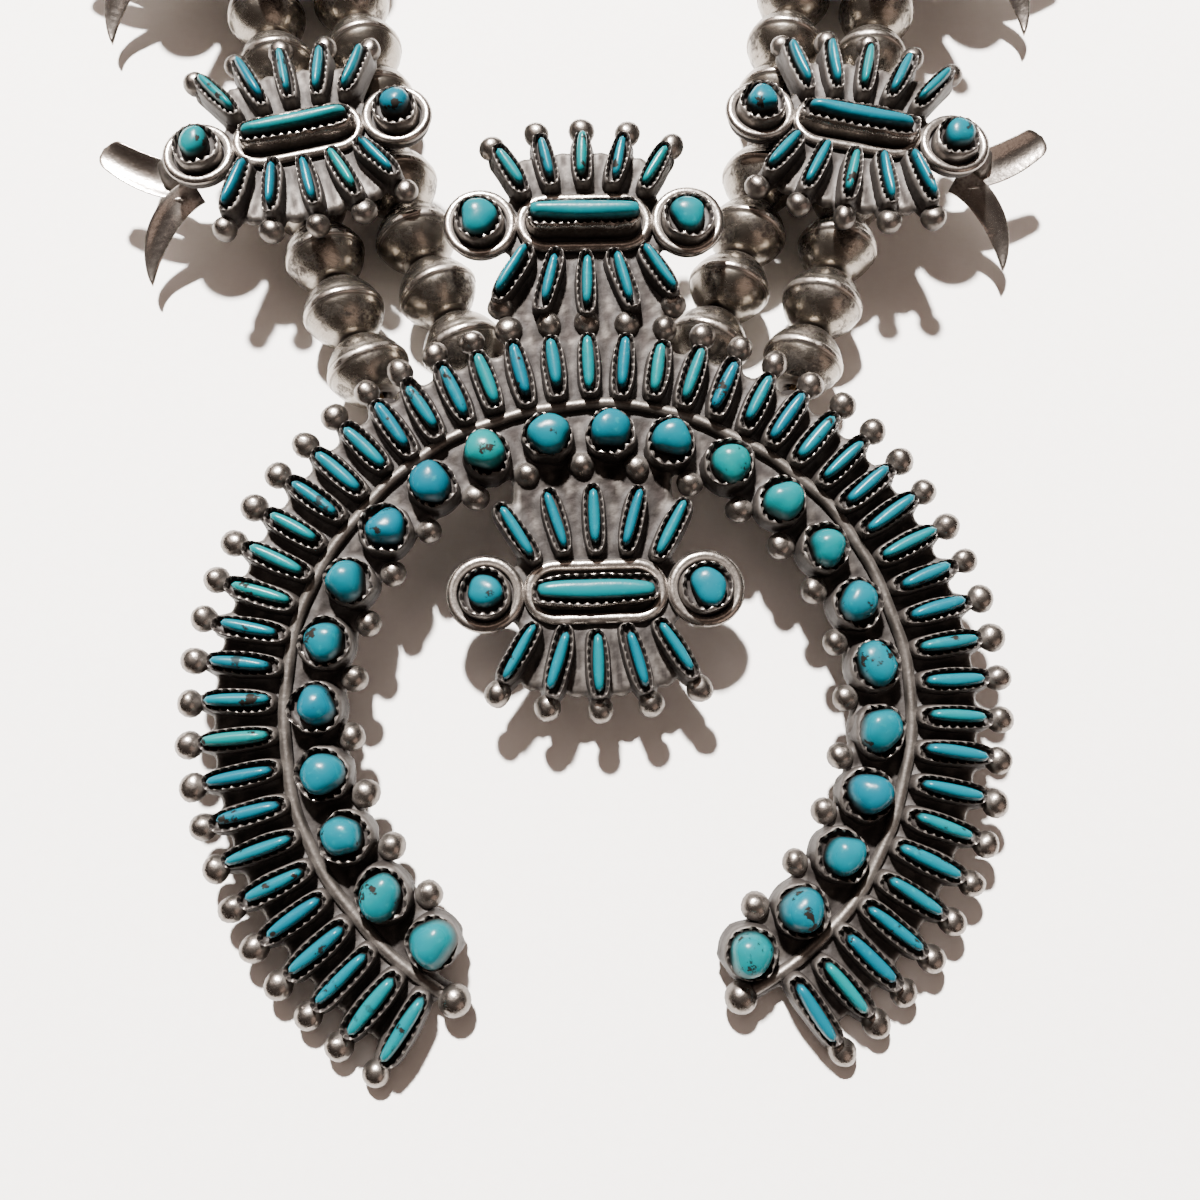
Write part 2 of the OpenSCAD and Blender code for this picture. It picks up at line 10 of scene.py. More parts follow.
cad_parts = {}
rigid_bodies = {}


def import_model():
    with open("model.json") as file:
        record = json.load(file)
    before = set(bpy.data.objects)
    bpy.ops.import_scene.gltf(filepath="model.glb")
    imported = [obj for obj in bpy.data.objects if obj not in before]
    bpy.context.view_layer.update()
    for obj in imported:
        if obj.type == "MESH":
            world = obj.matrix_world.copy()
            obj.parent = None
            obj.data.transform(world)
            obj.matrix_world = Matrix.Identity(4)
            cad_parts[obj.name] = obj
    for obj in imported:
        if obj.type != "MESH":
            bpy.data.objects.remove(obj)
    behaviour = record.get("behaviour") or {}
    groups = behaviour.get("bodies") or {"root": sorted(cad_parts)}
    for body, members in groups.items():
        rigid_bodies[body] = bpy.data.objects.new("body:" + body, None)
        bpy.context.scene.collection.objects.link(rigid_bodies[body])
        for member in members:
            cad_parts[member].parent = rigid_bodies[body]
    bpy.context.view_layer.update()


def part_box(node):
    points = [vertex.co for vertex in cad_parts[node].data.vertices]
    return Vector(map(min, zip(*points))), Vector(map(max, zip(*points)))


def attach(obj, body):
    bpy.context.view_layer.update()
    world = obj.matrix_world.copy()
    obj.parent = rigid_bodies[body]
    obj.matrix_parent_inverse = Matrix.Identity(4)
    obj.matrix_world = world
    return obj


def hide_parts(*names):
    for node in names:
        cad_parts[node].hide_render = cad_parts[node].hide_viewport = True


bl_info = {
    "name": "Squash blossom necklace",
    "version": (1, 0, 0),
    "blender": (4, 5, 0),
    "location": "3D View > Sidebar > Necklace",
    "description": "Builds the silver, the stones and the beads of a squash blossom necklace",
    "category": "Object",
}

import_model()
SIDES = ("left", "right")
BLOSSOMS = [f"blossom_{side}_{k}" for side in SIDES for k in range(1, 6)]
STRANDS = [f"strand_{row}_{side}" for row in ("inner", "outer") for side in SIDES]
NEEDLES, ROUNDS = 51, 23
ROUND_STONES = [f"round_stone_{i:02d}" for i in range(1, ROUNDS + 1)]
PENDANT_STONES = {"needle_stones": ["needle_stones"], "bar_stones": ["top_cluster_stones"],
                  "low_bar_stones": ["drop_cluster_stones"], "round_stones": ROUND_STONES}

# A cluster's fan: sideways step in mm, turn in degrees and gap to the wire frame in mm.
FAN_PITCH, FAN_STEP, FAN_GAP = 3.78, 15, 0.8
# Radii in mm of the silver under a ball, between it and its needle, and half the width of a rim wire's foot.
BALL_FOOT, BALL_NECK, WIRE_FOOT = 1.0, 0.72, 0.42
# A shank tube's half length, radius and bore, and half the sides of the post under it, in mm.
TUBE_HALF, TUBE_OUTER, TUBE_BORE, POST_X, POST_Y = 2.15, 2.3, 0.9, 1.5, 1.7
# In a blossom's own frame: middle of the two tubes, the stem's Y, and the face's height over the table.
SHANK_MIDDLE, STEM_Y, FACE_LIFT = -4, 2, 9.3
# The needle is drawn this long and stretched to each place; a blossom's bar is this much lower than the pendant's.
NEEDLE_MODEL, BLOSSOM_BAR = 5.5, 0.82
TABLE_HALF = 1500
# Radii in mm: bezels of a cluster's sides and of the crescent's rounds, the stone in either, the two bezels' feet.
SIDE_BEZEL, ROUND_BEZEL, ROUND_STONE, SIDE_FOOT, ROUND_FOOT = 2.4, 2.42, 2.02, 2.35, 2.4
# Radii in mm of the plate: round each round bezel, between needles, along a cluster's arms and at its middle.
ROUND_PAD, WEB_PAD, ARM_PAD, MIDDLE_PAD, MIDDLE_HALF = 2.65, 0.95, 1.4, 4.9, 4
# Radii of the crescent's plate, half the solid's ridge wire, its gap, half a bead and its gap to the pendant's tube.
CRESCENT_BAND, RIDGE_HALF, RIDGE_GAP, BEAD_HALF, TUBE_GAP = (24.7, 37.0), 0.625, 0.1, 3.7, 2.4

# Fitted to the photo: the camera's place in mm with Y from the pendant's centre, its directions, and its focal
# length in pixels of a picture twice PICTURE_HALF wide.
CAMERA_PLACE = (-3.2, -22.27, 108.73)
CAMERA_LOOK, CAMERA_UP = (0.0334, 0.3009, -0.9531), (0.0271, 0.953, 0.3018)
CAMERA_FOCAL, PICTURE_HALF = 1085, 600
# Name, place in metres, watts, width in metres and colour of each light.
LIGHTS = (("key", (-0.13, 0.5, 0.88), 90.0, 0.06, "#fffaf5"), ("sky", (-0.3, 0.5, 0.9), 3.0, 1.2, "#ffe2d2"),
          ("fill", (0.6, -0.7, 0.6), 1.5, 0.7, "#ffe2d2"))
LIGHT_TARGET, ROOM_COLOUR, ROOM_STRENGTH = (0, -0.11, 0), "#eccdbb", 0.1


def size(name, description, millimetres):
    """A length that a user would change, given here in millimetres and kept in metres."""
    return bpy.props.FloatProperty(name=name, description=description, default=millimetres / 1000,
                                   unit="LENGTH", precision=5, min=0.0)


def colour(name, description, code):
    """A colour that a user would change, given as an sRGB hex value."""
    return bpy.props.FloatVectorProperty(name=name, description=description, subtype="COLOR", size=3,
                                         min=0.0, max=1.0, default=linear(code)[:3])


def linear(code):
    """Turns an sRGB hex value into linear red, green, blue and alpha."""
    parts = [int(code[i:i + 2], 16) / 255 for i in (1, 3, 5)]
    return [p / 12.92 if p <= 0.04045 else ((p + 0.055) / 1.055) ** 2.4 for p in parts] + [1.0]


class NajaSizes(bpy.types.PropertyGroup):
    """Sizes of the crescent pendant, as in the part's source."""
    ball_ring: size("Ball ring", "Radius of the circle through the outer balls", 39.2)
    needle_ring: size("Ridge ring", "Radius of the ridge wire's middle", 30.285)
    round_ring: size("Round ring", "Radius of the circle through the round stones", 26.88)
    inner_ring: size("Inner ring", "Radius of the circle through the inner balls", 23.9)
    ridge_wire: size("Ridge wire", "Diameter of the ridge wire", 1.2)
    ridge_ball: size("Ridge ball", "Diameter of the balls that end the ridge wire", 3.1)
    top_cluster: size("Top cluster", "Distance of the top cluster from the crescent's centre", 50.1)
    drop_cluster: size("Drop cluster", "Distance of the drop cluster from the crescent's centre", 10.9)
    tilt: bpy.props.FloatProperty(name="Tilt", description="Angle of the pendant to the table",
                                  default=math.radians(7.5), subtype="ANGLE")
    half_angle: bpy.props.FloatProperty(name="Half angle", description="From the top to the last needle",
                                        default=math.radians(147), subtype="ANGLE")
    lead: bpy.props.FloatProperty(name="Lead", description="Turn of the round row to the right tip",
                                  default=math.radians(4), subtype="ANGLE")


class SettingSizes(bpy.types.PropertyGroup):
    """Sizes of the settings that the pendant and the blossoms share."""
    plate: size("Plate", "Thickness of the back plate", 1.0)
    ball: size("Ball", "Diameter of the soldered balls", 2.7)
    needle_long: size("Long needle", "Length of a needle stone at the crescent's tips", 6.0)
    needle_short: size("Short needle", "Length of a needle stone at the crescent's top", 5.2)
    fan_needle: size("Fan needle", "Length of a cluster's needle stones", 5.5)
    fan_small: size("Small fan needle", "Length of the needles above the top cluster", 4.6)
    needle_width: size("Needle width", "Width of a needle stone", 1.18)
    rim: size("Needle rim", "Silver round a needle stone", 0.42)
    needle_wall: size("Needle bezel height", "Height of the needle bezels above the plate", 2.15)
    round_wall: size("Round bezel height", "Height of the crescent's round bezels", 2.9)
    side_wall: size("Side bezel height", "Height of a cluster's round bezels", 2.3)
    bar_wall: size("Bar bezel height", "Height of a cluster's bar bezel", 3.1)
    bar_length: size("Bar length", "Length of a cluster's bar stone", 11.0)
    bar_width: size("Bar width", "Width of a cluster's bar stone", 1.9)
    half: size("Cluster half", "Distance from a cluster's centre to its round stones", 10.85)
    oval_length: size("Oval length", "Length of the wire frame round the bar", 14.4)
    oval_width: size("Oval width", "Width of the wire frame", 6.5)
    wire: size("Rim wire", "Thickness of the wire rims", 1.1)
    rim_ring: size("Rim ring", "Radius of a side rim's wire, at its middle", 3.33)


class Finishes(bpy.types.PropertyGroup):
    """Colours of the necklace's materials."""
    silver_mid: colour("Silver", "Oxidised silver where it is half rubbed clean", "#221e1d")
    silver_bright: colour("Bright silver", "Silver on rubbed edges and tooth tips", "#aca49d")
    # The oxide colour also paints the shade beside what stands on the silver and at a petal's root.
    silver_dark: colour("Oxide", "Black oxide left in the recesses", "#211c1a")
    bead_mid: colour("Bead silver", "Worn silver of the beads", "#857f77")
    bead_dark: colour("Bead tarnish", "Brown tarnish on the beads", "#17110d")
    stone_blue: colour("Blue stone", "The bluest turquoise", "#004959")
    stone_mid: colour("Stone", "The common turquoise", "#00505c")
    stone_green: colour("Green stone", "The greenest turquoise", "#005c5c")
    # The matrix colour also paints the shade at a stone's foot.
    stone_matrix: colour("Matrix", "Brown matrix in the turquoise", "#0e0905")
    table: colour("Table", "The pale table", "#faf8f6")


def mm(value):
    return value * 1000


def turn(degrees, axis="Z"):
    return Matrix.Rotation(math.radians(degrees), 4, axis)


def shift(x, y, z=0.0):
    return Matrix.Translation((x, y, z))


def applied(matrix, points):
    """Puts an array of points through a 4 x 4 matrix."""
    m = np.array(matrix)
    return np.asarray(points, float) @ m[:3, :3].T + m[:3, 3]


def make_piece(name, verts, faces, values=None, smooth=True):
    """A mesh object from millimetres, closed and with its faces outwards."""
    mesh = bpy.data.meshes.new(name)
    mesh.from_pydata((np.asarray(verts, float) / 1000).tolist(), [], [list(f) for f in faces])
    for key, numbers in (values or {}).items():
        mesh.attributes.new(key, "FLOAT", "POINT").data.foreach_set("value", np.asarray(numbers, np.float32))
    work = bmesh.new()
    work.from_mesh(mesh)
    bmesh.ops.recalc_face_normals(work, faces=work.faces)
    work.to_mesh(mesh)
    work.free()
    mesh.polygons.foreach_set("use_smooth", [smooth] * len(mesh.polygons))
    piece = bpy.data.objects.new(name, mesh)
    bpy.context.scene.collection.objects.link(piece)
    return piece


def loft(rings, closed=False):
    """Joins rings of equal counts by quads, with caps unless closed; returns points and faces."""
    n = len(rings[0])
    verts = np.concatenate([np.asarray(r, float) for r in rings])
    faces = []
    for k in range(len(rings) if closed else len(rings) - 1):
        a, b = k * n, (k + 1) % len(rings) * n
        faces += [(a + i, a + (i + 1) % n, b + (i + 1) % n, b + i) for i in range(n)]
    if not closed:
        faces += [tuple(range(n))[::-1], tuple(range((len(rings) - 1) * n, len(rings) * n))]
    return verts, faces


def joined(shapes):
    """Joins shapes (points, faces, values) into one; returns points, faces and values by name."""
    verts, faces, values, base = [], [], {}, 0
    names = sorted({key for shape in shapes for key in (shape[2] if len(shape) > 2 else {})})
    for shape in shapes:
        count = len(shape[0])
        verts.append(shape[0])
        faces += [tuple(i + base for i in f) for f in shape[1]]
        for key in names:
            given = shape[2].get(key) if len(shape) > 2 else None
            values.setdefault(key, []).append(np.zeros(count) if given is None else np.asarray(given, float))
        base += count
    return np.concatenate(verts), faces, {key: np.concatenate(v) for key, v in values.items()}


def round_angles(count):
    """Angles at even steps round a full turn, in radians."""
    return np.linspace(0, 2 * np.pi, count, endpoint=False)


def even_outline(curve, count):
    """Points at even distances along a closed curve, counterclockwise."""
    loop = np.vstack([curve, curve[:1]])
    along = np.concatenate([[0], np.cumsum(np.linalg.norm(np.diff(loop, axis=0), axis=1))])
    at = np.linspace(0, along[-1], count, endpoint=False)
    return np.stack([np.interp(at, along, loop[:, 0]), np.interp(at, along, loop[:, 1])], 1)


def leaf(length, width, count, full=0.72):
    """A needle's outline: long, full in the middle and bluntly pointed."""
    a = round_angles(400)
    x = width / 2 * np.sign(np.cos(a)) * np.abs(np.cos(a)) ** full
    return even_outline(np.stack([x, length / 2 * np.sin(a)], 1), count)


def stadium(length, width, count):
    a = round_angles(400)
    shift_x = np.where(np.cos(a) >= 0, 1, -1) * (length - width) / 2
    return even_outline(np.stack([shift_x + width / 2 * np.cos(a), width / 2 * np.sin(a)], 1), count)


def circle(radius, count):
    a = round_angles(count)
    return np.stack([radius * np.cos(a), radius * np.sin(a)], 1)


def pebble(radius, count):
    """A round stone's outline, as uneven as one ground by hand."""
    a = round_angles(count)
    r = radius * (1 + 0.05 * np.cos(2 * a + 0.6) + 0.045 * np.cos(3 * a + 2.0) + 0.015 * np.cos(5 * a))
    return np.stack([r * np.cos(a), r * np.sin(a)], 1)


def outwards(outline):
    """Unit normals of a counterclockwise outline."""
    along = np.roll(outline, -1, axis=0) - np.roll(outline, 1, axis=0)
    normal = np.stack([along[:, 1], -along[:, 0]], 1)
    return normal / np.linalg.norm(normal, axis=1)[:, None]


def saw_bezel(outline, wall, deep=0.45, lean=0.16, dark=0.85, flare=0.36, bright=1.0, side=0.1):
    """A saw-tooth bezel: a cut strip round a stone, its teeth cut by hand and rubbed; heights from the plate."""
    n = len(outline)
    random = np.random.default_rng(n)
    cut, rub = random.uniform(0.55, 1.0, n), random.uniform(0.3, 1.0, n) * bright
    normal = outwards(outline)
    tooth = (np.arange(n) % 2 == 0) * cut
    tip = tooth > 0
    # Each row: way out from the outline, height, rise of the teeth, rubbed shine, and the darkening by oxide and
    # painted shade at the foot, on the wall and inside the bezel.
    rows = [
        (flare, -0.2, 0.0, 0.0, 1.0),
        (0.6 * flare, 0.3, 0.0, 0.0, 1.0),
        (0.12, 0.55 * wall, 0.0, side, dark),
        (0.0, wall - 0.5 * deep, 0.3 * deep, 0.2 + side, 0.85 * dark),
        (-0.02 - lean * tooth, wall - deep, 1.3 * deep, 1.0, 0.0),
        (-0.18 - lean * tooth, wall - deep - 0.04, 1.2 * deep, 0.8, 0.0),
        (-0.26, wall - deep - 0.3, 0.0, 0.0, 1.0),
        (-0.55, wall - deep - 0.45, 0.0, 0.0, 1.0)]
    rings, wear, grime = [], [], []
    for out, z, rise, shine, dirt_and_shade in rows:
        ring = outline + normal * np.broadcast_to(out, n)[:, None]
        rings.append(np.column_stack([ring, z + rise * tooth]))
        toothed = rise > deep
        wear.append(np.where(tip, shine * rub, -shine) if toothed else np.full(n, 0.5 * shine))
        grime.append(np.where(tip, dirt_and_shade, 1 - 0.4 * (1 - dirt_and_shade)) if toothed else np.full(n, dirt_and_shade))
    verts, faces = loft(rings)
    return verts, faces, {"wear": np.concatenate(wear), "grime": np.concatenate(grime)}


def domed_stone(outline, wall, rise, width):
    """A polished stone that stands out of its bezel; outline gives its edge some way inwards, and its foot is darkened
    as painted shade where it goes into the bezel.
    """
    rings, grime = [], []
    # Each row: part of the half width inwards, share of the rise or mm below the wall's top, and the painted shade at
    # the stone's foot.
    for part, z, dirt_and_shade in ((0, -1.0, 1.0), (0, -0.2, 1.0), (0.05, 0.22, 0.7), (0.15, 0.53, 0.1), (0.32, 0.78, 0.0),
                          (0.58, 0.94, 0.0), (0.84, 1.0, 0.0)):
        ring = outline(part * width / 2)
        rings.append(np.column_stack([ring, np.full(len(ring), wall + (z * rise if z > 0 else z))]))
        grime += [dirt_and_shade] * len(ring)
    verts, faces = loft(rings)
    return verts, faces, {"grime": grime}


def ball_shape(radius, around=16, rows=10, flat=0.9, rubbed=0.18):
    a = np.linspace(0, np.pi, rows + 1)[1:-1]
    rings = [np.column_stack([circle(radius * math.sin(t), around), np.full(around, -radius * flat * math.cos(t))])
             for t in a]
    verts, faces = loft(rings)
    height = verts[:, 2] / (radius * flat)
    # Lighter towards the top where it is rubbed; darker towards the foot, as oxide and painted shade where it meets
    # the plate.
    return verts, faces, {"wear": np.clip(rubbed + 0.45 * height, 0, 1),
                          "grime": np.clip(-height * 1.2 - 0.1, 0, 1)}


def ring_wire(path, radius, sides=10, flat=0.85, closed=True, rubbed=1.0):
    """A soldered wire along a flat path, a little flattened where it is rubbed."""
    path = np.asarray(path, float)
    if closed:
        along = np.roll(path, -1, axis=0) - np.roll(path, 1, axis=0)
    else:
        along = np.gradient(path, axis=0)
    side = np.stack([along[:, 1], -along[:, 0], np.zeros(len(path))], 1)
    side /= np.linalg.norm(side, axis=1)[:, None]
    a = round_angles(sides)
    rings = [at + np.outer(radius * np.cos(a), aside) + np.outer(radius * flat * np.sin(a), (0, 0, 1))
             for at, aside in zip(path, side)]
    verts, faces = loft(rings, closed=closed)
    # Lighter on top where it is rubbed and darker underneath, against the plate.
    high = np.tile(np.sin(a), len(path))
    return verts, faces, {"wear": np.clip(rubbed * (0.3 + 0.7 * high), 0, 1), "grime": np.clip(-1.3 * high, 0, 1)}


def tube(start, end, sides=20):
    """A short tube between two points, with its bore for a thread."""
    start, end = Vector(start), Vector(end)
    axis = (end - start).normalized()
    side = axis.cross(Vector((0, 0, 1))).normalized() if abs(axis.z) < 0.9 else Vector((1, 0, 0))
    up = side.cross(axis)
    rings, a = [], round_angles(sides)
    for at, radius in ((start, TUBE_BORE), (start, TUBE_OUTER - 0.15), (start + axis * 0.15, TUBE_OUTER),
                       (end - axis * 0.15, TUBE_OUTER), (end, TUBE_OUTER - 0.15), (end, TUBE_BORE)):
        rings.append(np.array(at) + radius * (np.outer(np.cos(a), side) + np.outer(np.sin(a), up)))
    verts, faces = loft(rings, closed=True)
    return verts, faces, {"wear": np.full(len(verts), 0.25), "grime": np.full(len(verts), 0.15)}


def post(matrix, low, high):
    """A soldered post, a little rounded."""
    rings = [np.column_stack([stadium(2 * POST_X * k, 1.98 * POST_Y * k, 16), np.full(16, z)])
             for z, k in ((low, 0.95), (low + 0.2, 1), (high - 0.3, 1), (high, 1.2))]
    verts, faces = loft(rings)
    return applied(matrix, verts), faces, {"grime": np.full(len(verts), 0.5)}


def segment_distance(points, form):
    """Distance of points from a straight form, or from the wall of a hollow one."""
    x0, y0, x1, y1, radius, wall = form
    d = np.array([x1 - x0, y1 - y0])
    span = float(d @ d)
    rel = points - np.array([x0, y0])
    t = np.clip(rel @ d / span, 0, 1) if span > 1e-9 else np.zeros(len(points))
    away = np.linalg.norm(rel - t[:, None] * d, axis=1)
    return np.abs(away - radius) - wall if wall else away - radius


def soldered_plate(pads, walls, wires, thick, spacing, band=None, melt=0.24, seed=0, rubbed=0.6):
    """A cut plate with rounded edges, darkened beside what stands on it by oxide and painted shade, with solder at the
    bezels' feet.

    pads, walls and wires are rows (x0, y0, x1, y1, radius, wall), band is (inner, outer, half angle).
    """
    pads = np.array(pads, float)
    margin, edge_height, edge_width, under_round, step = 4.5, 0.42, 0.55, 0.22, 0.02

    def edge(points):
        total = np.zeros(len(points))
        if band:
            r = np.linalg.norm(points, axis=1)
            a = np.abs(np.arctan2(points[:, 0], points[:, 1]))
            d = np.maximum(np.abs(r - (band[0] + band[1]) / 2) - (band[1] - band[0]) / 2, (a - band[2]) * r)
            total += np.exp(np.clip(-d / melt, -60, 60))
        for form in pads:
            total += np.exp(np.clip(-segment_distance(points, form) / melt, -60, 60))
        return -melt * np.log(np.maximum(total, 1e-30))

    ends = pads[:, :4].reshape(-1, 2)
    low, high = ends.min(0) - margin, ends.max(0) + margin
    if band:
        low, high = np.minimum(low, -band[1] - 2), np.maximum(high, band[1] + 2)
    nx, ny = (int(v) for v in np.ceil((high - low) / spacing))
    grid = np.stack(np.meshgrid(low[0] + spacing * np.arange(nx), low[1] + spacing * np.arange(ny)), -1)
    flat = grid.reshape(-1, 2)
    d = edge(flat).reshape(ny, nx)
    keep = (d[:-1, :-1] + d[1:, :-1] + d[:-1, 1:] + d[1:, 1:]) < 0
    j, i = np.nonzero(keep)
    quads = np.stack([j * nx + i, j * nx + i + 1, (j + 1) * nx + i + 1, (j + 1) * nx + i], 1)
    used, quads = np.unique(quads, return_inverse=True)
    quads = quads.reshape(-1, 4)
    points = flat[used].copy()
    sides = np.concatenate([quads[:, [k, (k + 1) % 4]] for k in range(4)])
    code = np.sort(sides, axis=1) @ np.array([len(points), 1])
    _, first, count = np.unique(code, return_index=True, return_counts=True)
    rim = sides[first[count == 1]]
    on_rim = np.unique(rim)
    for _ in range(4):
        p = points[on_rim]
        here = edge(p)
        slope = np.stack([(edge(p + (step, 0)) - here) / step, (edge(p + (0, step)) - here) / step], 1)
        length = np.maximum((slope ** 2).sum(1), 0.2)
        move = np.clip(here / length, -0.7 * spacing, 0.7 * spacing)
        points[on_rim] = p - slope * move[:, None]
    depth = np.clip(-edge(points), 0, None)
    depth[on_rim] = 0
    foot = np.full(len(points), 9.0)
    for form in walls:
        foot = np.minimum(foot, segment_distance(points, form))
    near = foot.copy()
    for form in wires:
        near = np.minimum(near, segment_distance(points, form))
    rounded = np.sqrt(1 - (1 - np.clip(depth / edge_width, 0, 1)) ** 2)
    x, y = points.T
    lumps = (np.sin(1.9 * x + 0.7 * y + seed) * np.sin(1.3 * y - 0.6 * x + 2 * seed)
             + 0.6 * np.sin(3.7 * x - 1.9 * y) * np.sin(2.9 * y + 1.1 * x + seed))
    creep = 0.3 * np.exp(-np.clip(foot, 0, None) / 0.25)
    top = edge_height + (thick - edge_height + 0.03 * lumps + creep) * rounded
    under = under_round * (1 - rounded)
    n = len(points)
    verts = np.concatenate([np.column_stack([points, top]), np.column_stack([points, under])])
    faces = quads.tolist() + (quads[:, ::-1] + n).tolist()
    faces += [(b, a, a + n, b + n) for a, b in rim.tolist()]
    # Darker close to the bezels and wires: oxide in the corners and painted shade beside them.
    grime = np.clip(1.5 * np.exp(-np.clip(near - 0.1, 0, None) / 0.42), 0, 1)
    wear = rubbed * (0.5 * np.exp(-((depth - 0.3) / 0.28) ** 2) + 0.2 * np.clip(lumps, 0, 1))
    return verts, faces, {"grime": np.concatenate([grime, np.full(n, 0.25)]),
                          "wear": np.concatenate([wear * (1 - 0.8 * grime), np.full(n, 0.1)])}


def node(tree, kind, links=None, **settings):
    """Adds a node with its settings; links gives each input a value or a socket."""
    made = tree.nodes.new(kind)
    for key, value in settings.items():
        setattr(made, key, value)
    for key, value in (links or {}).items():
        if isinstance(value, bpy.types.NodeSocket):
            tree.links.new(value, made.inputs[key])
        else:
            made.inputs[key].default_value = value
    return made


def repeat_tree():
    """Geometry Nodes: sets one shape at every point, by the point's turn and size, a little uneven."""
    tree = bpy.data.node_groups.get("Set in rows")
    if tree:
        return tree
    tree = bpy.data.node_groups.new("Set in rows", "GeometryNodeTree")
    for title, kind in (("Places", "Geometry"), ("Shape", "Object"), ("Finish", "Material"),
                        ("Unevenness", "Float"), ("Grain", "Float"), ("Seed", "Int")):
        tree.interface.new_socket(title, in_out="INPUT", socket_type="NodeSocket" + kind)
    tree.interface.new_socket("Result", in_out="OUTPUT", socket_type="NodeSocketGeometry")
    given = node(tree, "NodeGroupInput").outputs
    shape = node(tree, "GeometryNodeObjectInfo", {"Object": given["Shape"]}, transform_space="ORIGINAL")
    turned, sized = (
        node(tree, "GeometryNodeInputNamedAttribute", {"Name": key}, data_type="FLOAT_VECTOR").outputs["Attribute"]
        for key in ("turn", "size"))
    angles = node(tree, "FunctionNodeEulerToRotation", {0: turned})
    placed = node(tree, "GeometryNodeInstanceOnPoints", {
        "Points": given["Places"], "Instance": shape.outputs["Geometry"], "Rotation": angles.outputs[0],
        "Scale": sized})
    real = node(tree, "GeometryNodeRealizeInstances", {"Geometry": placed.outputs["Instances"]})
    where = node(tree, "GeometryNodeInputPosition")
    noise = node(tree, "ShaderNodeTexNoise", {
        "Vector": where.outputs[0], "W": given["Seed"], "Scale": given["Grain"], "Detail": 0.0},
        noise_dimensions="4D")
    centred = node(tree, "ShaderNodeVectorMath", {0: noise.outputs["Color"], 1: (0.5, 0.5, 0.5)},
                   operation="SUBTRACT")
    offset = node(tree, "ShaderNodeVectorMath", {0: centred.outputs[0], "Scale": given["Unevenness"]},
                  operation="SCALE")
    moved = node(tree, "GeometryNodeSetPosition", {
        "Geometry": real.outputs["Geometry"], "Offset": offset.outputs[0]})
    finished = node(tree, "GeometryNodeSetMaterial", {
        "Geometry": moved.outputs["Geometry"], "Material": given["Finish"]})
    node(tree, "NodeGroupOutput", {0: finished.outputs["Geometry"]})
    return tree


def set_in_rows(name, shape, places, finish, unevenness, grain, seed, values=None):
    """Sets a shape at many places with Geometry Nodes; each place is (matrix in mm, three scales)."""
    template = make_piece(name + "_shape", *shape)
    mesh = bpy.data.meshes.new(name)
    mesh.from_pydata([tuple(at.translation / 1000) for at, _ in places], [], [])
    turns = np.array([at.to_euler("XYZ") for at, _ in places], np.float32)
    sizes = np.array([scales for _, scales in places], np.float32)
    for key, numbers in (("turn", turns), ("size", sizes)):
        mesh.attributes.new(key, "FLOAT_VECTOR", "POINT").data.foreach_set("vector", numbers.ravel())
    random = np.random.default_rng(seed)
    own = {"tone": random.random(len(places)), "flaw": random.random(len(places)), **(values or {})}
    for key, numbers in own.items():
        mesh.attributes.new(key, "FLOAT", "POINT").data.foreach_set("value", np.asarray(numbers, np.float32))
    piece = bpy.data.objects.new(name, mesh)
    bpy.context.scene.collection.objects.link(piece)
    modifier = piece.modifiers.new("Set in rows", "NODES")
    modifier.node_group = repeat_tree()
    inputs = {"Shape": template, "Finish": finish, "Unevenness": unevenness / 1000, "Grain": grain * 1000,
              "Seed": seed}
    for item in modifier.node_group.interface.items_tree:
        if item.name in inputs:
            modifier[item.identifier] = inputs[item.name]
    graph = bpy.context.evaluated_depsgraph_get()
    result = bpy.data.meshes.new_from_object(piece.evaluated_get(graph), preserve_all_data_layers=True,
                                             depsgraph=graph)
    piece.modifiers.remove(modifier)
    piece.data = result
    result.name = name
    result.polygons.foreach_set("use_smooth", [True] * len(result.polygons))
    bpy.data.objects.remove(template)
    return piece


def finish_of(name, build):
    """A material by name, made once."""
    found = bpy.data.materials.get(name)
    if found:
        return found
    made = bpy.data.materials.new(name)
    made.use_nodes = True
    made.node_tree.nodes.clear()
    build(made.node_tree)
    return made


def rgba(value):
    return tuple(value) + (1.0,)


# The inputs that a row of numbers fills, in order, for a noise node and for one that maps a range.
NOISE = ("Vector", "Scale", "Detail", "Roughness")
RANGE = ("Value", "From Min", "From Max", "To Min", "To Max")
# Colours that the finishes fade to, besides those a user would change.
OXIDE_CLOUD, BEAD_SCRATCH, PALE_STONE, PAPER_TOOTH = "#171412", "#6d665b", "#187479", "#f4f1ee"
THREAD_DARK, THREAD_LIGHT = "#6d5335", "#94764c"


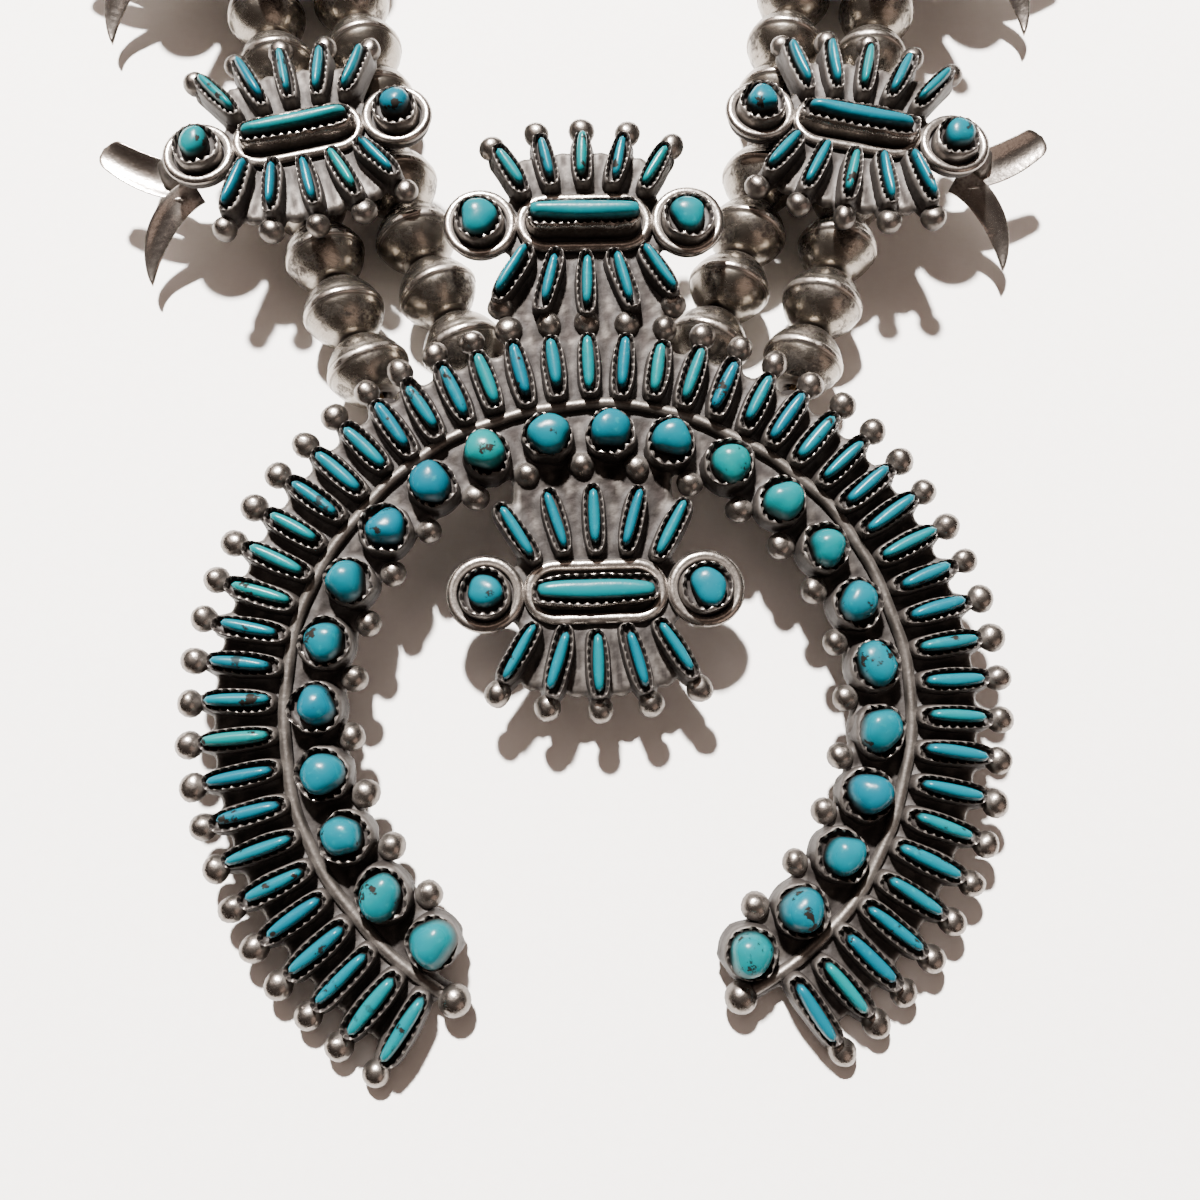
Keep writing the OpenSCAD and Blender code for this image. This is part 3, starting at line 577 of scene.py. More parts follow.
def oxidised_silver(tree):
    """Sterling silver, soldered and oxidised, then rubbed.

    The eye sees black oxide in the recesses, painted shade beside what stands on the silver, a dark dull grey on the
    flats and bright satin on the edges.
    """
    c = bpy.context.scene.necklace_finishes
    coords = node(tree, "ShaderNodeTexCoord").outputs["Object"]
    wear, grime = (node(tree, "ShaderNodeAttribute", attribute_name=key).outputs["Fac"] for key in ("wear", "grime"))
    # Clouds of oxide about 1.5 mm across, specks of about 0.3 mm and a grain of about 0.7 mm; the scales count
    # patterns a metre.
    cloud, specks, grain = (node(tree, "ShaderNodeTexNoise", dict(zip(NOISE, (coords, *row)))).outputs[0]
                            for row in ((700.0, 4.0), (3200.0, 3.0), (1500.0, 4.0, 0.5)))
    crevice = node(tree, "ShaderNodeAmbientOcclusion", {"Distance": 0.0016}, samples=6).outputs["AO"]
    uneven, sunk, broken, patchy = (node(tree, "ShaderNodeMapRange", dict(zip(RANGE, row))).outputs[0] for row in (
        (cloud, 0.38, 0.66), (crevice, 0.3, 0.85, 0.6, 0.0), (specks, 0.25, 0.6, 0.75, 1.0),
        (specks, 0.3, 0.6, 0.75, 1.0)))
    # Black where ambient occlusion finds the recesses that hold oxide, and where the mesh marks oxide and painted
    # shade.
    oxide = node(tree, "ShaderNodeMath", {0: grime, 1: sunk}, operation="MAXIMUM").outputs[0]
    black, rubbed = (node(tree, "ShaderNodeMath", dict(enumerate(pair)), operation="MULTIPLY",
                          use_clamp=True).outputs[0] for pair in ((oxide, broken), (wear, patchy)))
    base = rgba(c.silver_mid)
    for amount, tint in ((uneven, linear(OXIDE_CLOUD)), (black, rgba(c.silver_dark)), (rubbed, rgba(c.silver_bright))):
        base = node(tree, "ShaderNodeMix", {0: amount, 6: base, 7: tint}, data_type="RGBA").outputs[2]
    gloss, metal = (node(tree, "ShaderNodeMapRange", dict(zip(RANGE, row))).outputs[0] for row in (
        (rubbed, 0.05, 0.5, 0.6, 0.27), (black, 0.0, 1.0, 1.0, 0.25)))
    bump = node(tree, "ShaderNodeBump", {"Strength": 0.5, "Distance": 0.0001, "Height": grain})
    shader = node(tree, "ShaderNodeBsdfPrincipled", {
        "Base Color": base, "Metallic": metal, "Roughness": gloss, "Normal": bump.outputs[0]})
    node(tree, "ShaderNodeOutputMaterial", {0: shader.outputs[0]})


def pressed_bead_silver(tree):
    """Silver sheet pressed in halves and soldered.

    The eye sees a soft grey satin with brown tarnish in patches, dark pits and fine scratches round the bead.
    """
    c = bpy.context.scene.necklace_finishes
    coords = node(tree, "ShaderNodeTexCoord").outputs["Object"]
    wear, grime = (node(tree, "ShaderNodeAttribute", attribute_name=key).outputs["Fac"] for key in ("wear", "grime"))
    along = node(tree, "ShaderNodeMapping", {
        "Vector": coords, "Rotation": (0.3, 0.5, 0.9), "Scale": (0.5, 6.0, 1.0)}, vector_type="POINT").outputs[0]
    # Tarnish patches about 3 mm across with a broken edge of about 0.4 mm; scratches about 0.2 mm apart; dents
    # of about 1 mm.
    cloud, specks, lines, dents = (node(tree, "ShaderNodeTexNoise", dict(zip(NOISE, row))).outputs[0] for row in (
        (coords, 300.0, 6.0, 0.68), (coords, 2600.0, 4.0), (along, 1600.0, 2.0), (coords, 1100.0, 6.0, 0.6)))
    streaks, patch, pits = (node(tree, "ShaderNodeMapRange", dict(zip(RANGE, row))).outputs[0] for row in (
        (lines, 0.4, 0.75), (cloud, 0.53, 0.59), (specks, 0.2, 0.55)))
    worn = node(tree, "ShaderNodeMath", {0: patch, 1: pits}, operation="MULTIPLY").outputs[0]
    dark = node(tree, "ShaderNodeMath", {0: worn, 1: grime}, operation="MAXIMUM", use_clamp=True).outputs[0]
    base = rgba(c.bead_mid)
    for amount, tint in ((streaks, linear(BEAD_SCRATCH)), (dark, rgba(c.bead_dark)), (wear, rgba(c.silver_bright))):
        base = node(tree, "ShaderNodeMix", {0: amount, 6: base, 7: tint}, data_type="RGBA").outputs[2]
    gloss = node(tree, "ShaderNodeMapRange", dict(zip(RANGE, (dark, 0.0, 1.0, 0.27, 0.5)))).outputs[0]
    bump = node(tree, "ShaderNodeBump", {"Strength": 0.5, "Distance": 0.0001, "Height": dents})
    shader = node(tree, "ShaderNodeBsdfPrincipled", {
        "Base Color": base, "Metallic": 1.0, "Roughness": gloss, "Normal": bump.outputs[0]})
    node(tree, "ShaderNodeOutputMaterial", {0: shader.outputs[0]})


def polished_turquoise(tree):
    """Turquoise cut by hand and polished.

    The eye sees a waxy gloss, a colour from blue to green by the stone, and brown matrix and chips in some.
    """
    c = bpy.context.scene.necklace_finishes
    coords = node(tree, "ShaderNodeTexCoord").outputs["Object"]
    tone, flaw, grime = (node(tree, "ShaderNodeAttribute", attribute_name=key).outputs["Fac"]
                         for key in ("tone", "flaw", "grime"))
    # A cloud of about 2 mm moves each stone's own tone; matrix spots are 0.5 to 1.5 mm across; pale flecks are
    # about 0.7 mm and the waxy surface waves about every 1 mm.
    cloud, fleck, spots, wax = (node(tree, "ShaderNodeTexNoise", dict(zip(NOISE, (coords, *row)))).outputs[0]
                                for row in ((500.0, 3.0), (1400.0, 3.0), (520.0, 4.0, 0.62), (1000.0, 3.0)))
    mottled = node(tree, "ShaderNodeMix", {0: 0.25, 2: tone, 3: cloud}, data_type="FLOAT").outputs[0]
    bluer, greener, pale, vein, some = (node(tree, "ShaderNodeMapRange", dict(zip(RANGE, row))).outputs[0] for row in (
        (mottled, 0.1, 0.45), (mottled, 0.62, 0.9), (fleck, 0.6, 0.8, 0.0, 0.45), (spots, 0.595, 0.63),
        (flaw, 0.35, 0.41)))
    matrix = node(tree, "ShaderNodeMath", {0: vein, 1: some}, operation="MULTIPLY").outputs[0]
    # The stone's own brown matrix, and the painted shade at its foot, both turn the colour to the matrix brown.
    brown = node(tree, "ShaderNodeMath", {0: matrix, 1: grime}, operation="MAXIMUM").outputs[0]
    base = rgba(c.stone_blue)
    for amount, tint in ((bluer, rgba(c.stone_mid)), (greener, rgba(c.stone_green)), (pale, linear(PALE_STONE)),
                         (brown, rgba(c.stone_matrix))):
        base = node(tree, "ShaderNodeMix", {0: amount, 6: base, 7: tint}, data_type="RGBA").outputs[2]
    gloss = node(tree, "ShaderNodeMapRange", dict(zip(RANGE, (brown, 0.0, 1.0, 0.27, 0.7)))).outputs[0]
    bump = node(tree, "ShaderNodeBump", {"Strength": 0.3, "Distance": 0.0001, "Height": wax})
    shader = node(tree, "ShaderNodeBsdfPrincipled", {
        "Base Color": base, "Roughness": gloss, "IOR": 1.5, "Specular IOR Level": 0.16, "Normal": bump.outputs[0]})
    node(tree, "ShaderNodeOutputMaterial", {0: shader.outputs[0]})


def waxed_thread(tree):
    """Waxed cotton thread: matt brown, with a fine twist."""
    coords = node(tree, "ShaderNodeTexCoord").outputs["Object"]
    # The twist repeats every 0.5 mm along the thread.
    twist = node(tree, "ShaderNodeTexWave", {"Vector": coords, "Scale": 600.0, "Distortion": 1.0},
                 bands_direction="DIAGONAL")
    base = node(tree, "ShaderNodeMix", {0: twist.outputs[1], 6: linear(THREAD_DARK), 7: linear(THREAD_LIGHT)},
                data_type="RGBA")
    bump = node(tree, "ShaderNodeBump", {"Strength": 0.6, "Distance": 0.0001, "Height": twist.outputs[1]})
    shader = node(tree, "ShaderNodeBsdfPrincipled", {
        "Base Color": base.outputs[2], "Roughness": 0.75, "Normal": bump.outputs[0]})
    node(tree, "ShaderNodeOutputMaterial", {0: shader.outputs[0]})


def matt_paper(tree):
    """Plain pale paper on the table: matt, with a faint tooth."""
    coords = node(tree, "ShaderNodeTexCoord").outputs["Object"]
    # The paper's tooth is about 1 mm, coarser than the real one so that it shows.
    tooth = node(tree, "ShaderNodeTexNoise", {"Vector": coords, "Scale": 900.0, "Detail": 3.0})
    base = node(tree, "ShaderNodeMix", {
        0: tooth.outputs[0], 6: rgba(bpy.context.scene.necklace_finishes.table), 7: linear(PAPER_TOOTH)},
        data_type="RGBA")
    shader = node(tree, "ShaderNodeBsdfPrincipled", {
        "Base Color": base.outputs[2], "Roughness": 0.85, "Specular IOR Level": 0.2})
    node(tree, "ShaderNodeOutputMaterial", {0: shader.outputs[0]})


def silver():
    return finish_of("oxidised sterling silver", oxidised_silver)


def turquoise():
    return finish_of("polished turquoise", polished_turquoise)


def bead_silver():
    return finish_of("pressed bead silver", pressed_bead_silver)


def hand_in(piece, material, slot, *nodes):
    """Gives a finished piece its material and its body, and hides the nodes it stands for; slot is not used."""
    piece.data.materials.clear()
    piece.data.materials.append(material)
    piece.data.polygons.foreach_set("material_index", [0] * len(piece.data.polygons))
    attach(piece, "root")
    if nodes:
        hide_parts(*nodes)


def islands(name):
    """The loose solids of a CAD node, as arrays of points in millimetres."""
    work = bmesh.new()
    work.from_mesh(bpy.data.objects[name].data)
    bmesh.ops.remove_doubles(work, verts=work.verts, dist=1e-6)
    work.verts.ensure_lookup_table()
    left, found = set(range(len(work.verts))), []
    while left:
        group, stack = [], [left.pop()]
        while stack:
            k = stack.pop()
            group.append(k)
            for link in work.verts[k].link_edges:
                other = link.other_vert(work.verts[k]).index
                if other in left:
                    left.discard(other)
                    stack.append(other)
        found.append(np.array([work.verts[k].co for k in group]) * 1000)
    work.free()
    return found


def naja_plane():
    """The pendant's own plane: tilted, its lowest balls on the table."""
    n, s = bpy.context.scene.necklace_naja, bpy.context.scene.necklace_settings
    ring, ball, plate = mm(n.ball_ring), 2.5, mm(s.plate)
    low = ring * math.cos(n.half_angle) * math.cos(n.tilt) - ball / 2 - plate * math.sin(n.tilt)
    lift = ball / 2 - plate * math.cos(n.tilt) - ring * math.cos(n.half_angle) * math.sin(n.tilt)
    return shift(0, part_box("naja_silver")[0][1] * 1000 - low, lift) @ Matrix.Rotation(n.tilt, 4, "X")


def blossom_plane(name):
    """A blossom's face, found between its two round stones, X to the outside of the necklace."""
    middles = sorted(((p.min(0) + p.max(0)) / 2 for p in islands(name + "_stones")), key=lambda m: m[0])
    a, b = middles[0], middles[2]
    angle = math.degrees(math.atan2(b[1] - a[1], b[0] - a[0]))
    s = bpy.context.scene.necklace_settings
    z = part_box(name + "_stones")[0][2] * 1000 - mm(s.plate) - 0.08
    return shift((a[0] + b[0]) / 2, (a[1] + b[1]) / 2, z) @ turn(angle)


def strip(at, start, end, radius, wall=0):
    """The form of a straight thing between two points (x, y) of a place's own frame."""
    a, b = at @ Vector((*start, 0)), at @ Vector((*end, 0))
    return a.x, a.y, b.x, b.y, radius, wall


def disc(at, radius, wall=0):
    """The form of a round thing at a place."""
    return (at.translation.x, at.translation.y) * 2 + (radius, wall)


class Face:
    """What stands on a silver plate: places of needles, balls, bars and rounds, and the plate's forms."""

    def __init__(self):
        self.needles, self.balls, self.bars, self.sides, self.rounds = [], [], [], [], []
        self.pads, self.walls, self.wires = [], [], []

    def add_needle(self, at, length, reach=None):
        """A needle and its bezel; reach is the distance of the ball at its tip, if it has one."""
        s = bpy.context.scene.necklace_settings
        rim, half_w = mm(s.rim), mm(s.needle_width) / 2
        self.needles.append((at, length))
        self.pads.append(strip(at, (0, -length / 2), (0, length / 2), half_w + rim + 0.12))
        self.walls.append(strip(at, (0, 0.9 - rim - length / 2), (0, length / 2 + rim - 0.9), half_w + rim))
        if reach:
            self.balls.append(at @ shift(0, reach))
            self.pads.append(strip(at, (0, length / 2), (0, reach), BALL_NECK))
            self.walls.append(strip(at, (0, reach), (0, reach), BALL_FOOT))

    def add_cluster(self, centre, up, down, up_balls, down_balls):
        """Two fans of needles round a bar and two round stones; up and down are the needles' lengths."""
        s = bpy.context.scene.necklace_settings
        rim, half, frame_r = mm(s.rim), mm(s.half), mm(s.oval_width) / 2
        for side, length, balls, web in ((1, up, up_balls, 0.22), (-1, down, down_balls, 0.4)):
            places = {}
            for i in (-1.5, -0.5, 0.5, 1.5, -2, -1, 0, 1, 2):
                y = frame_r + FAN_GAP + rim + length / 2 - 0.32 * i * i
                places[i] = (centre @ shift(i * FAN_PITCH, side * y)
                             @ turn(-i * FAN_STEP if side > 0 else 180 + i * FAN_STEP))
            for i, at in places.items():
                if i % 1:
                    self.pads.append(strip(at, (0, -0.6 * length), (0, web * length), WEB_PAD))
                else:
                    self.add_needle(at, length, length / 2 + rim + mm(s.ball) / 2 - 0.1 if balls else None)
        self.bars.append(centre)
        for x in (-half, half):
            at = centre @ shift(x, 0)
            self.sides.append(at)
            self.pads.append(disc(at, mm(s.rim_ring) + 0.15))
            self.walls.append(disc(at, SIDE_FOOT))
            self.wires.append(disc(at, mm(s.rim_ring), WIRE_FOOT))
        self.pads.append(strip(centre, (-half, 0), (half, 0), ARM_PAD))
        self.pads.append(strip(centre, (-MIDDLE_HALF, 0), (MIDDLE_HALF, 0), MIDDLE_PAD))
        reach = (mm(s.oval_length) - mm(s.oval_width)) / 2
        self.wires.append(strip(centre, (-reach, 0), (reach, 0), frame_r - WIRE_FOOT, WIRE_FOOT))
        reach = (mm(s.bar_length) - mm(s.bar_width)) / 2
        self.walls.append(strip(centre, (-reach, 0), (reach, 0), mm(s.bar_width) / 2 + 0.45))


def wires_of(face):
    """The wire rims of a face's sides and ovals."""
    s = bpy.context.scene.necklace_settings
    plate, wire = mm(s.plate), mm(s.wire) / 2
    rim = circle(mm(s.rim_ring), 40)
    oval = stadium(mm(s.oval_length) - 2 * wire, mm(s.oval_width) - 2 * wire, 72)
    shapes = []
    for places, line, high in ((face.sides, rim, plate + 0.35), (face.bars, oval, plate + 0.38)):
        verts, faces, values = ring_wire(np.column_stack([line, np.full(len(line), high)]), wire)
        shapes += [(applied(at, verts), faces, values) for at in places]
    return shapes


def petal(line, widths, cup, roll=0.0, thick=0.8, tip=0.12):
    """One petal of the flared mouth, a blade along a smooth line, cupped upwards, its edges thin and rubbed, and
    darkened towards its root as painted shade.
    """
    steps, sides, thin_end = 22, 16, 0.08
    line, knots, u = np.array(line), np.linspace(0, 1, len(line)), np.linspace(0, 1, steps)
    centre = np.column_stack([np.polyval(np.polyfit(knots, line[:, k], 3), u) for k in range(3)])
    half = np.polyval(np.polyfit(knots, widths, 3), u) / 2
    rest = np.clip((1 - u) / tip, 0.0, 1.0)
    half = np.maximum(half * np.sqrt(rest * (2 - rest)), thin_end)
    ahead = np.gradient(centre, axis=0)
    ahead /= np.linalg.norm(ahead, axis=1)[:, None]
    across = np.cross(ahead, (0, 0, 1))
    across /= np.linalg.norm(across, axis=1)[:, None]
    above = np.cross(across, ahead)
    a = math.radians(roll)
    across, above = across * math.cos(a) + above * math.sin(a), above * math.cos(a) - across * math.sin(a)
    rings = []
    for k, along in enumerate(u):
        ring = []
        for b in round_angles(sides):
            aside = half[k] * math.cos(b)
            high = thick / 2 * (1 - 0.4 * along) * math.sin(b) + cup * aside * aside
            ring.append(centre[k] + across[k] * aside + above[k] * high)
        rings.append(ring)
    verts, faces = loft(rings)
    edge = np.abs(np.tile(np.cos(round_angles(sides)), steps)) ** 8
    # Edges rubbed bright; painted shade darkens the blade towards its root at the stem.
    return verts, faces, {"wear": 0.75 + 0.25 * edge, "grime": np.repeat(np.clip(0.9 - 2.6 * u, 0.0, 1.0), sides)}


def blossom_back(mirrored):
    """The shank tubes, posts, stem and petals behind a blossom's face, in the face's own frame."""
    s = bpy.context.scene.necklace_settings
    tube_z, stem_z, top = 4.5 - FACE_LIFT, 6.2 - FACE_LIFT, 0.5 * mm(s.plate)
    shapes = []
    for x in (SHANK_MIDDLE - 5.15, SHANK_MIDDLE + 5.15):
        shapes.append(tube((x, STEM_Y - TUBE_HALF, tube_z), (x, STEM_Y + TUBE_HALF, tube_z)))
        shapes.append(post(shift(x, STEM_Y), tube_z + 1.6, top))
    stem = []
    # Each pair: distance out along the stem and its radius.
    for x, r in ((2.2, 1.5), (8, 1.5), (12.5, 1.55), (14.0, 1.9), (15.2, 2.05), (16.0, 1.5)):
        ring = circle(r, 24)
        stem.append(np.column_stack([np.full(24, x), ring[:, 0], stem_z + ring[:, 1]]))
    verts, faces = loft(stem)
    values = {"wear": np.full(len(verts), 0.3), "grime": np.full(len(verts), 0.1)}
    shapes.append((verts + (0, STEM_Y, 0), faces, values))
    # The petals' middle lines, the first two measured in the photo, then their widths, cup and roll.
    sickle = ((12.4, -0.8, -3.4), (15.0, -1.9, -3.8), (17.4, -3.6, -4.8), (19.2, -6.0, -5.9), (20.0, -8.9, -6.8))
    tongue = ((13.4, 0.3, -3.4), (16.0, 1.5, -3.2), (18.4, 3.1, -2.8), (20.3, 4.8, -2.2), (21.4, 6.0, -1.7))
    under = ((13.6, 2.0, -4.0), (14.6, 2.0, -5.4), (15.8, 2.1, -6.7), (17.2, 2.2, -7.8), (18.4, 2.4, -8.3))
    shapes.append(petal(sickle, (3.0, 3.2, 2.8, 2.2, 1.2), 0.34, -20, tip=0.5))
    shapes.append(petal(tongue, (3.8, 4.2, 4.0, 3.6, 3.2), 0.24, -16, tip=0.22))
    shapes.append(petal(under, (2.6, 3.2, 3.2, 2.9, 2.4), 0.1))
    if mirrored:
        shapes = [(v * (-1, 1, 1), f, values) for v, f, values in shapes]
    return shapes


def naja_face():
    """All that the pendant carries, in its own plane."""
    n, s = bpy.context.scene.necklace_naja, bpy.context.scene.necklace_settings
    face = Face()
    half, ring, ridge = math.degrees(n.half_angle), mm(n.ball_ring), mm(n.needle_ring)
    for i in range(NEEDLES):
        a = -half + i * 2 * half / (NEEDLES - 1)
        length = mm(s.needle_short) + (mm(s.needle_long) - mm(s.needle_short)) * abs(a) / half
        middle = ridge + RIDGE_HALF + RIDGE_GAP + mm(s.rim) + length / 2
        face.add_needle(turn(-a) @ shift(0, middle), length, ring - middle)
    lead = math.degrees(n.lead)
    for i in range(ROUNDS):
        at = turn(half - lead - i * 2 * half / (ROUNDS - 1)) @ shift(0, mm(n.round_ring))
        face.rounds.append(at)
        face.pads.append(disc(at, ROUND_PAD))
        face.walls.append(disc(at, ROUND_FOOT))
    for i in range(ROUNDS - 1):
        at = turn(half - lead - (i + 0.5) * 2 * half / (ROUNDS - 1)) @ shift(0, mm(n.inner_ring))
        face.balls.append(at)
        face.pads.append(strip(at, (0, 0), (0, 2), 0.8))
        face.walls.append(disc(at, BALL_FOOT))
    face.wires.append((0, 0, 0, 0, ridge, 0.7))
    # Silver under the ridge wire where it runs past the crescent's ends.
    for a, b in ((-half - 5, -half + 3), (half - 3, half + 5 + lead)):
        for k in np.arange(a, b, 2):
            p, q = turn(-k) @ Vector((0, ridge, 0)), turn(-k - 2) @ Vector((0, ridge, 0))
            face.pads.append((p.x, p.y, q.x, q.y, 0.75, 0))
    face.add_cluster(shift(0, mm(n.top_cluster)), mm(s.fan_small), mm(s.fan_needle), True, False)
    face.add_cluster(shift(0, mm(n.drop_cluster)), mm(s.fan_needle), mm(s.fan_needle), False, True)
    # Two balls beside the upper neck, then the necks of silver from the crescent to its two clusters.
    for x in (-8.9, 8.9):
        face.balls.append(shift(x, 40.9))
        face.pads.append((x, 40.9, 0.75 * x, 40.4, 0.8, 0))
        face.walls.append((x, 40.9, x, 40.9, BALL_FOOT, 0))
    for y in np.arange(36, 46, 1.6):
        face.pads.append((-6.6, y, 6.6, y, 1.4, 0))
    for y in np.arange(16, 27, 1.6):
        face.pads.append((-6.4, y, 6.4, y, 1.6, 0))
    return face


def hand_set(ground, places, seed, angle, move, stretch):
    """Hand work: each place on the ground a little turned, moved and stretched, the same way every run."""
    random = np.random.default_rng(seed)
    result = []
    for at, scales in places:
        a, dx, dy = (float(v) for v in np.clip(random.normal(0, 1, 3), -2, 2))
        k = 1 + random.normal(0, stretch, 3)
        moved = at @ shift(dx * move, dy * move) @ turn(a * angle)
        result.append((ground @ moved, tuple(np.array(scales) * np.clip(k, 0.92, 1.08))))
    return result


def blossom_face():
    """All that a blossom carries, in its own plane."""
    fan, face = mm(bpy.context.scene.necklace_settings.fan_needle), Face()
    face.add_cluster(Matrix.Identity(4), fan, fan, True, True)
    return face


def faces_of_all():
    """Every face with its plane: the pendant's and the ten blossoms'."""
    return [("naja", naja_plane(), naja_face())] + [(name, blossom_plane(name), blossom_face()) for name in BLOSSOMS]


class NECKLACE_OT_naja(bpy.types.Operator):
    """Build the pendant's plate, wires and back tubes."""
    bl_idname = "necklace.naja"
    bl_label = "Pendant silver"

    def execute(self, context):
        n, s = context.scene.necklace_naja, context.scene.necklace_settings
        plane, face = naja_plane(), naja_face()
        ridge = mm(n.needle_ring)
        half, lead = math.degrees(n.half_angle), math.degrees(n.lead)
        verts, faces, values = soldered_plate(
            face.pads, face.walls, face.wires, mm(s.plate), 0.31, (*CRESCENT_BAND, math.radians(half - 0.5)))
        plate = make_piece("naja_plate", applied(plane, verts), faces, values)
        hand_in(plate, silver(), "silver", "naja_silver")
        shapes = wires_of(face)
        steps, past = 150, 5.2
        angles = np.radians(np.linspace(-half - past, half + past + lead, steps))
        sway = 1 + 0.0035 * np.sin(9 * angles) + 0.002 * np.sin(23 * angles)
        path = np.column_stack([ridge * sway * np.sin(angles), ridge * sway * np.cos(angles),
                                np.full(steps, mm(s.plate) + 0.25)])
        shapes.append(ring_wire(path, mm(n.ridge_wire) / 2, 12, 1.0, False, 0.35))
        verts, faces, values = ball_shape(mm(n.ridge_ball) / 2, 20, 14)
        for end in (path[0], path[-1]):
            shapes.append((verts + end, faces, values))
        verts, faces, values = joined(shapes)
        wires = make_piece("naja_wires", applied(plane, verts), faces, values)
        hand_in(wires, silver(), "silver")
        backs = []
        for box in STRANDS:
            beads = sorted(((p.min(0) + p.max(0)) / 2 for p in islands(box)), key=lambda m: m[1])
            along = Vector(beads[0] - beads[1]).normalized()
            middle = Vector(beads[0]) + along * (BEAD_HALF + TUBE_GAP + TUBE_HALF)
            backs.append(tube(middle - along * TUBE_HALF, middle + along * TUBE_HALF))
            top = plane.translation.z + (middle.y - plane.translation.y) * math.tan(n.tilt) + 0.4
            facing = turn(math.degrees(math.atan2(-along.x, along.y)))
            backs.append(post(shift(middle.x, middle.y) @ facing, middle.z + 1.6, top))
        verts, faces, values = joined(backs)
        hand_in(make_piece("naja_back_tubes", verts, faces, values), silver(), "silver")
        return {"FINISHED"}


class NECKLACE_OT_blossoms(bpy.types.Operator):
    """Build the ten blossoms' plates, wires, shanks, stems and petals."""
    bl_idname = "necklace.blossoms"
    bl_label = "Blossoms"

    def execute(self, context):
        s = context.scene.necklace_settings
        for k, name in enumerate(BLOSSOMS):
            face = blossom_face()
            plate = soldered_plate(face.pads, face.walls, face.wires, mm(s.plate), 0.3, seed=1.7 * k)
            verts, faces, values = joined([plate] + wires_of(face) + blossom_back("left" in name))
            piece = make_piece(name + "_silver", applied(blossom_plane(name), verts), faces, values)
            hand_in(piece, silver(), "silver", name)
        return {"FINISHED"}


class NECKLACE_OT_bezels(bpy.types.Operator):
    """Set the saw-tooth bezels and the soldered balls."""
    bl_idname = "necklace.bezels"
    bl_label = "Bezels and balls"

    def execute(self, context):
        s = context.scene.necklace_settings
        rim = mm(s.rim)
        model = NEEDLE_MODEL + 2 * rim
        needle = saw_bezel(leaf(model, mm(s.needle_width) + 2 * rim + 0.15, 40, 0.5), mm(s.needle_wall),
                           0.36, 0.1, 0.95, bright=0.75)
        bar, thin = (saw_bezel(outline, mm(s.bar_wall), 0.42, 0.12, 0.12, bright=0.7, side=1.0) for outline in (
            stadium(mm(s.bar_length) + 0.9, mm(s.bar_width) + 0.9, 64),
            leaf(mm(s.bar_length) + 1.5, mm(s.bar_width) + 1.3, 64, 0.4) @ np.array([[0, 1], [-1, 0]])))
        side = saw_bezel(circle(SIDE_BEZEL, 32), mm(s.side_wall), 0.5, dark=0.5, side=0.5)
        round_ = saw_bezel(circle(ROUND_BEZEL, 30), mm(s.round_wall) - 0.4, 0.55, 0.2)
        for name, plane, face in faces_of_all():
            lifted = plane @ shift(0, 0, mm(s.plate))
            seed = 3 if name == "naja" else BLOSSOMS.index(name) + 11
            high, first_row = (1, NEEDLES) if name == "naja" else (BLOSSOM_BAR, 0)
            needles = [(at, (1 if k < first_row else 0.92, (length + 2 * rim + 0.4) / model, 1))
                       for k, (at, length) in enumerate(face.needles)]
            # Each row: name, shape, places, turn and move by hand, then unevenness and its grain.
            rows = [
                ("needle_bezels", needle, needles, 2.0, 0.06, 0.25, 0.35),
                ("bar_bezels", bar if name == "naja" else thin, [(face.bars[0], (1, 0.5 + high / 2, high))],
                 0.8, 0.03, 0.5, 0.35),
                ("low_bar_bezels", thin, [(at, (1, 1, 0.62)) for at in face.bars[1:]], 0.8, 0.03, 0.5, 0.35),
                ("side_bezels", side, [(at, (1, 1, 1)) for at in face.sides], 8.0, 0.06, 0.5, 0.35),
                ("round_bezels", round_, [(at, (1, 1, 1)) for at in face.rounds], 8.0, 0.06, 0.75, 0.6)]
            for row, shape, places, angle, move, uneven, grain in rows:
                if places:
                    places = hand_set(lifted, places, seed, angle, move, 0.03)
                    piece = set_in_rows(f"{name}_{row}", shape, places, silver(), uneven, grain, seed)
                    hand_in(piece, silver(), "silver")
            balls = hand_set(lifted, [(at, (1, 1, 1)) for at in face.balls], seed + 50, 0, 0.07, 0.05)
            piece = set_in_rows(f"{name}_balls", ball_shape(mm(s.ball) / 2), balls, silver(), 0.3, 0.5, seed)
            hand_in(piece, silver(), "silver")
        return {"FINISHED"}


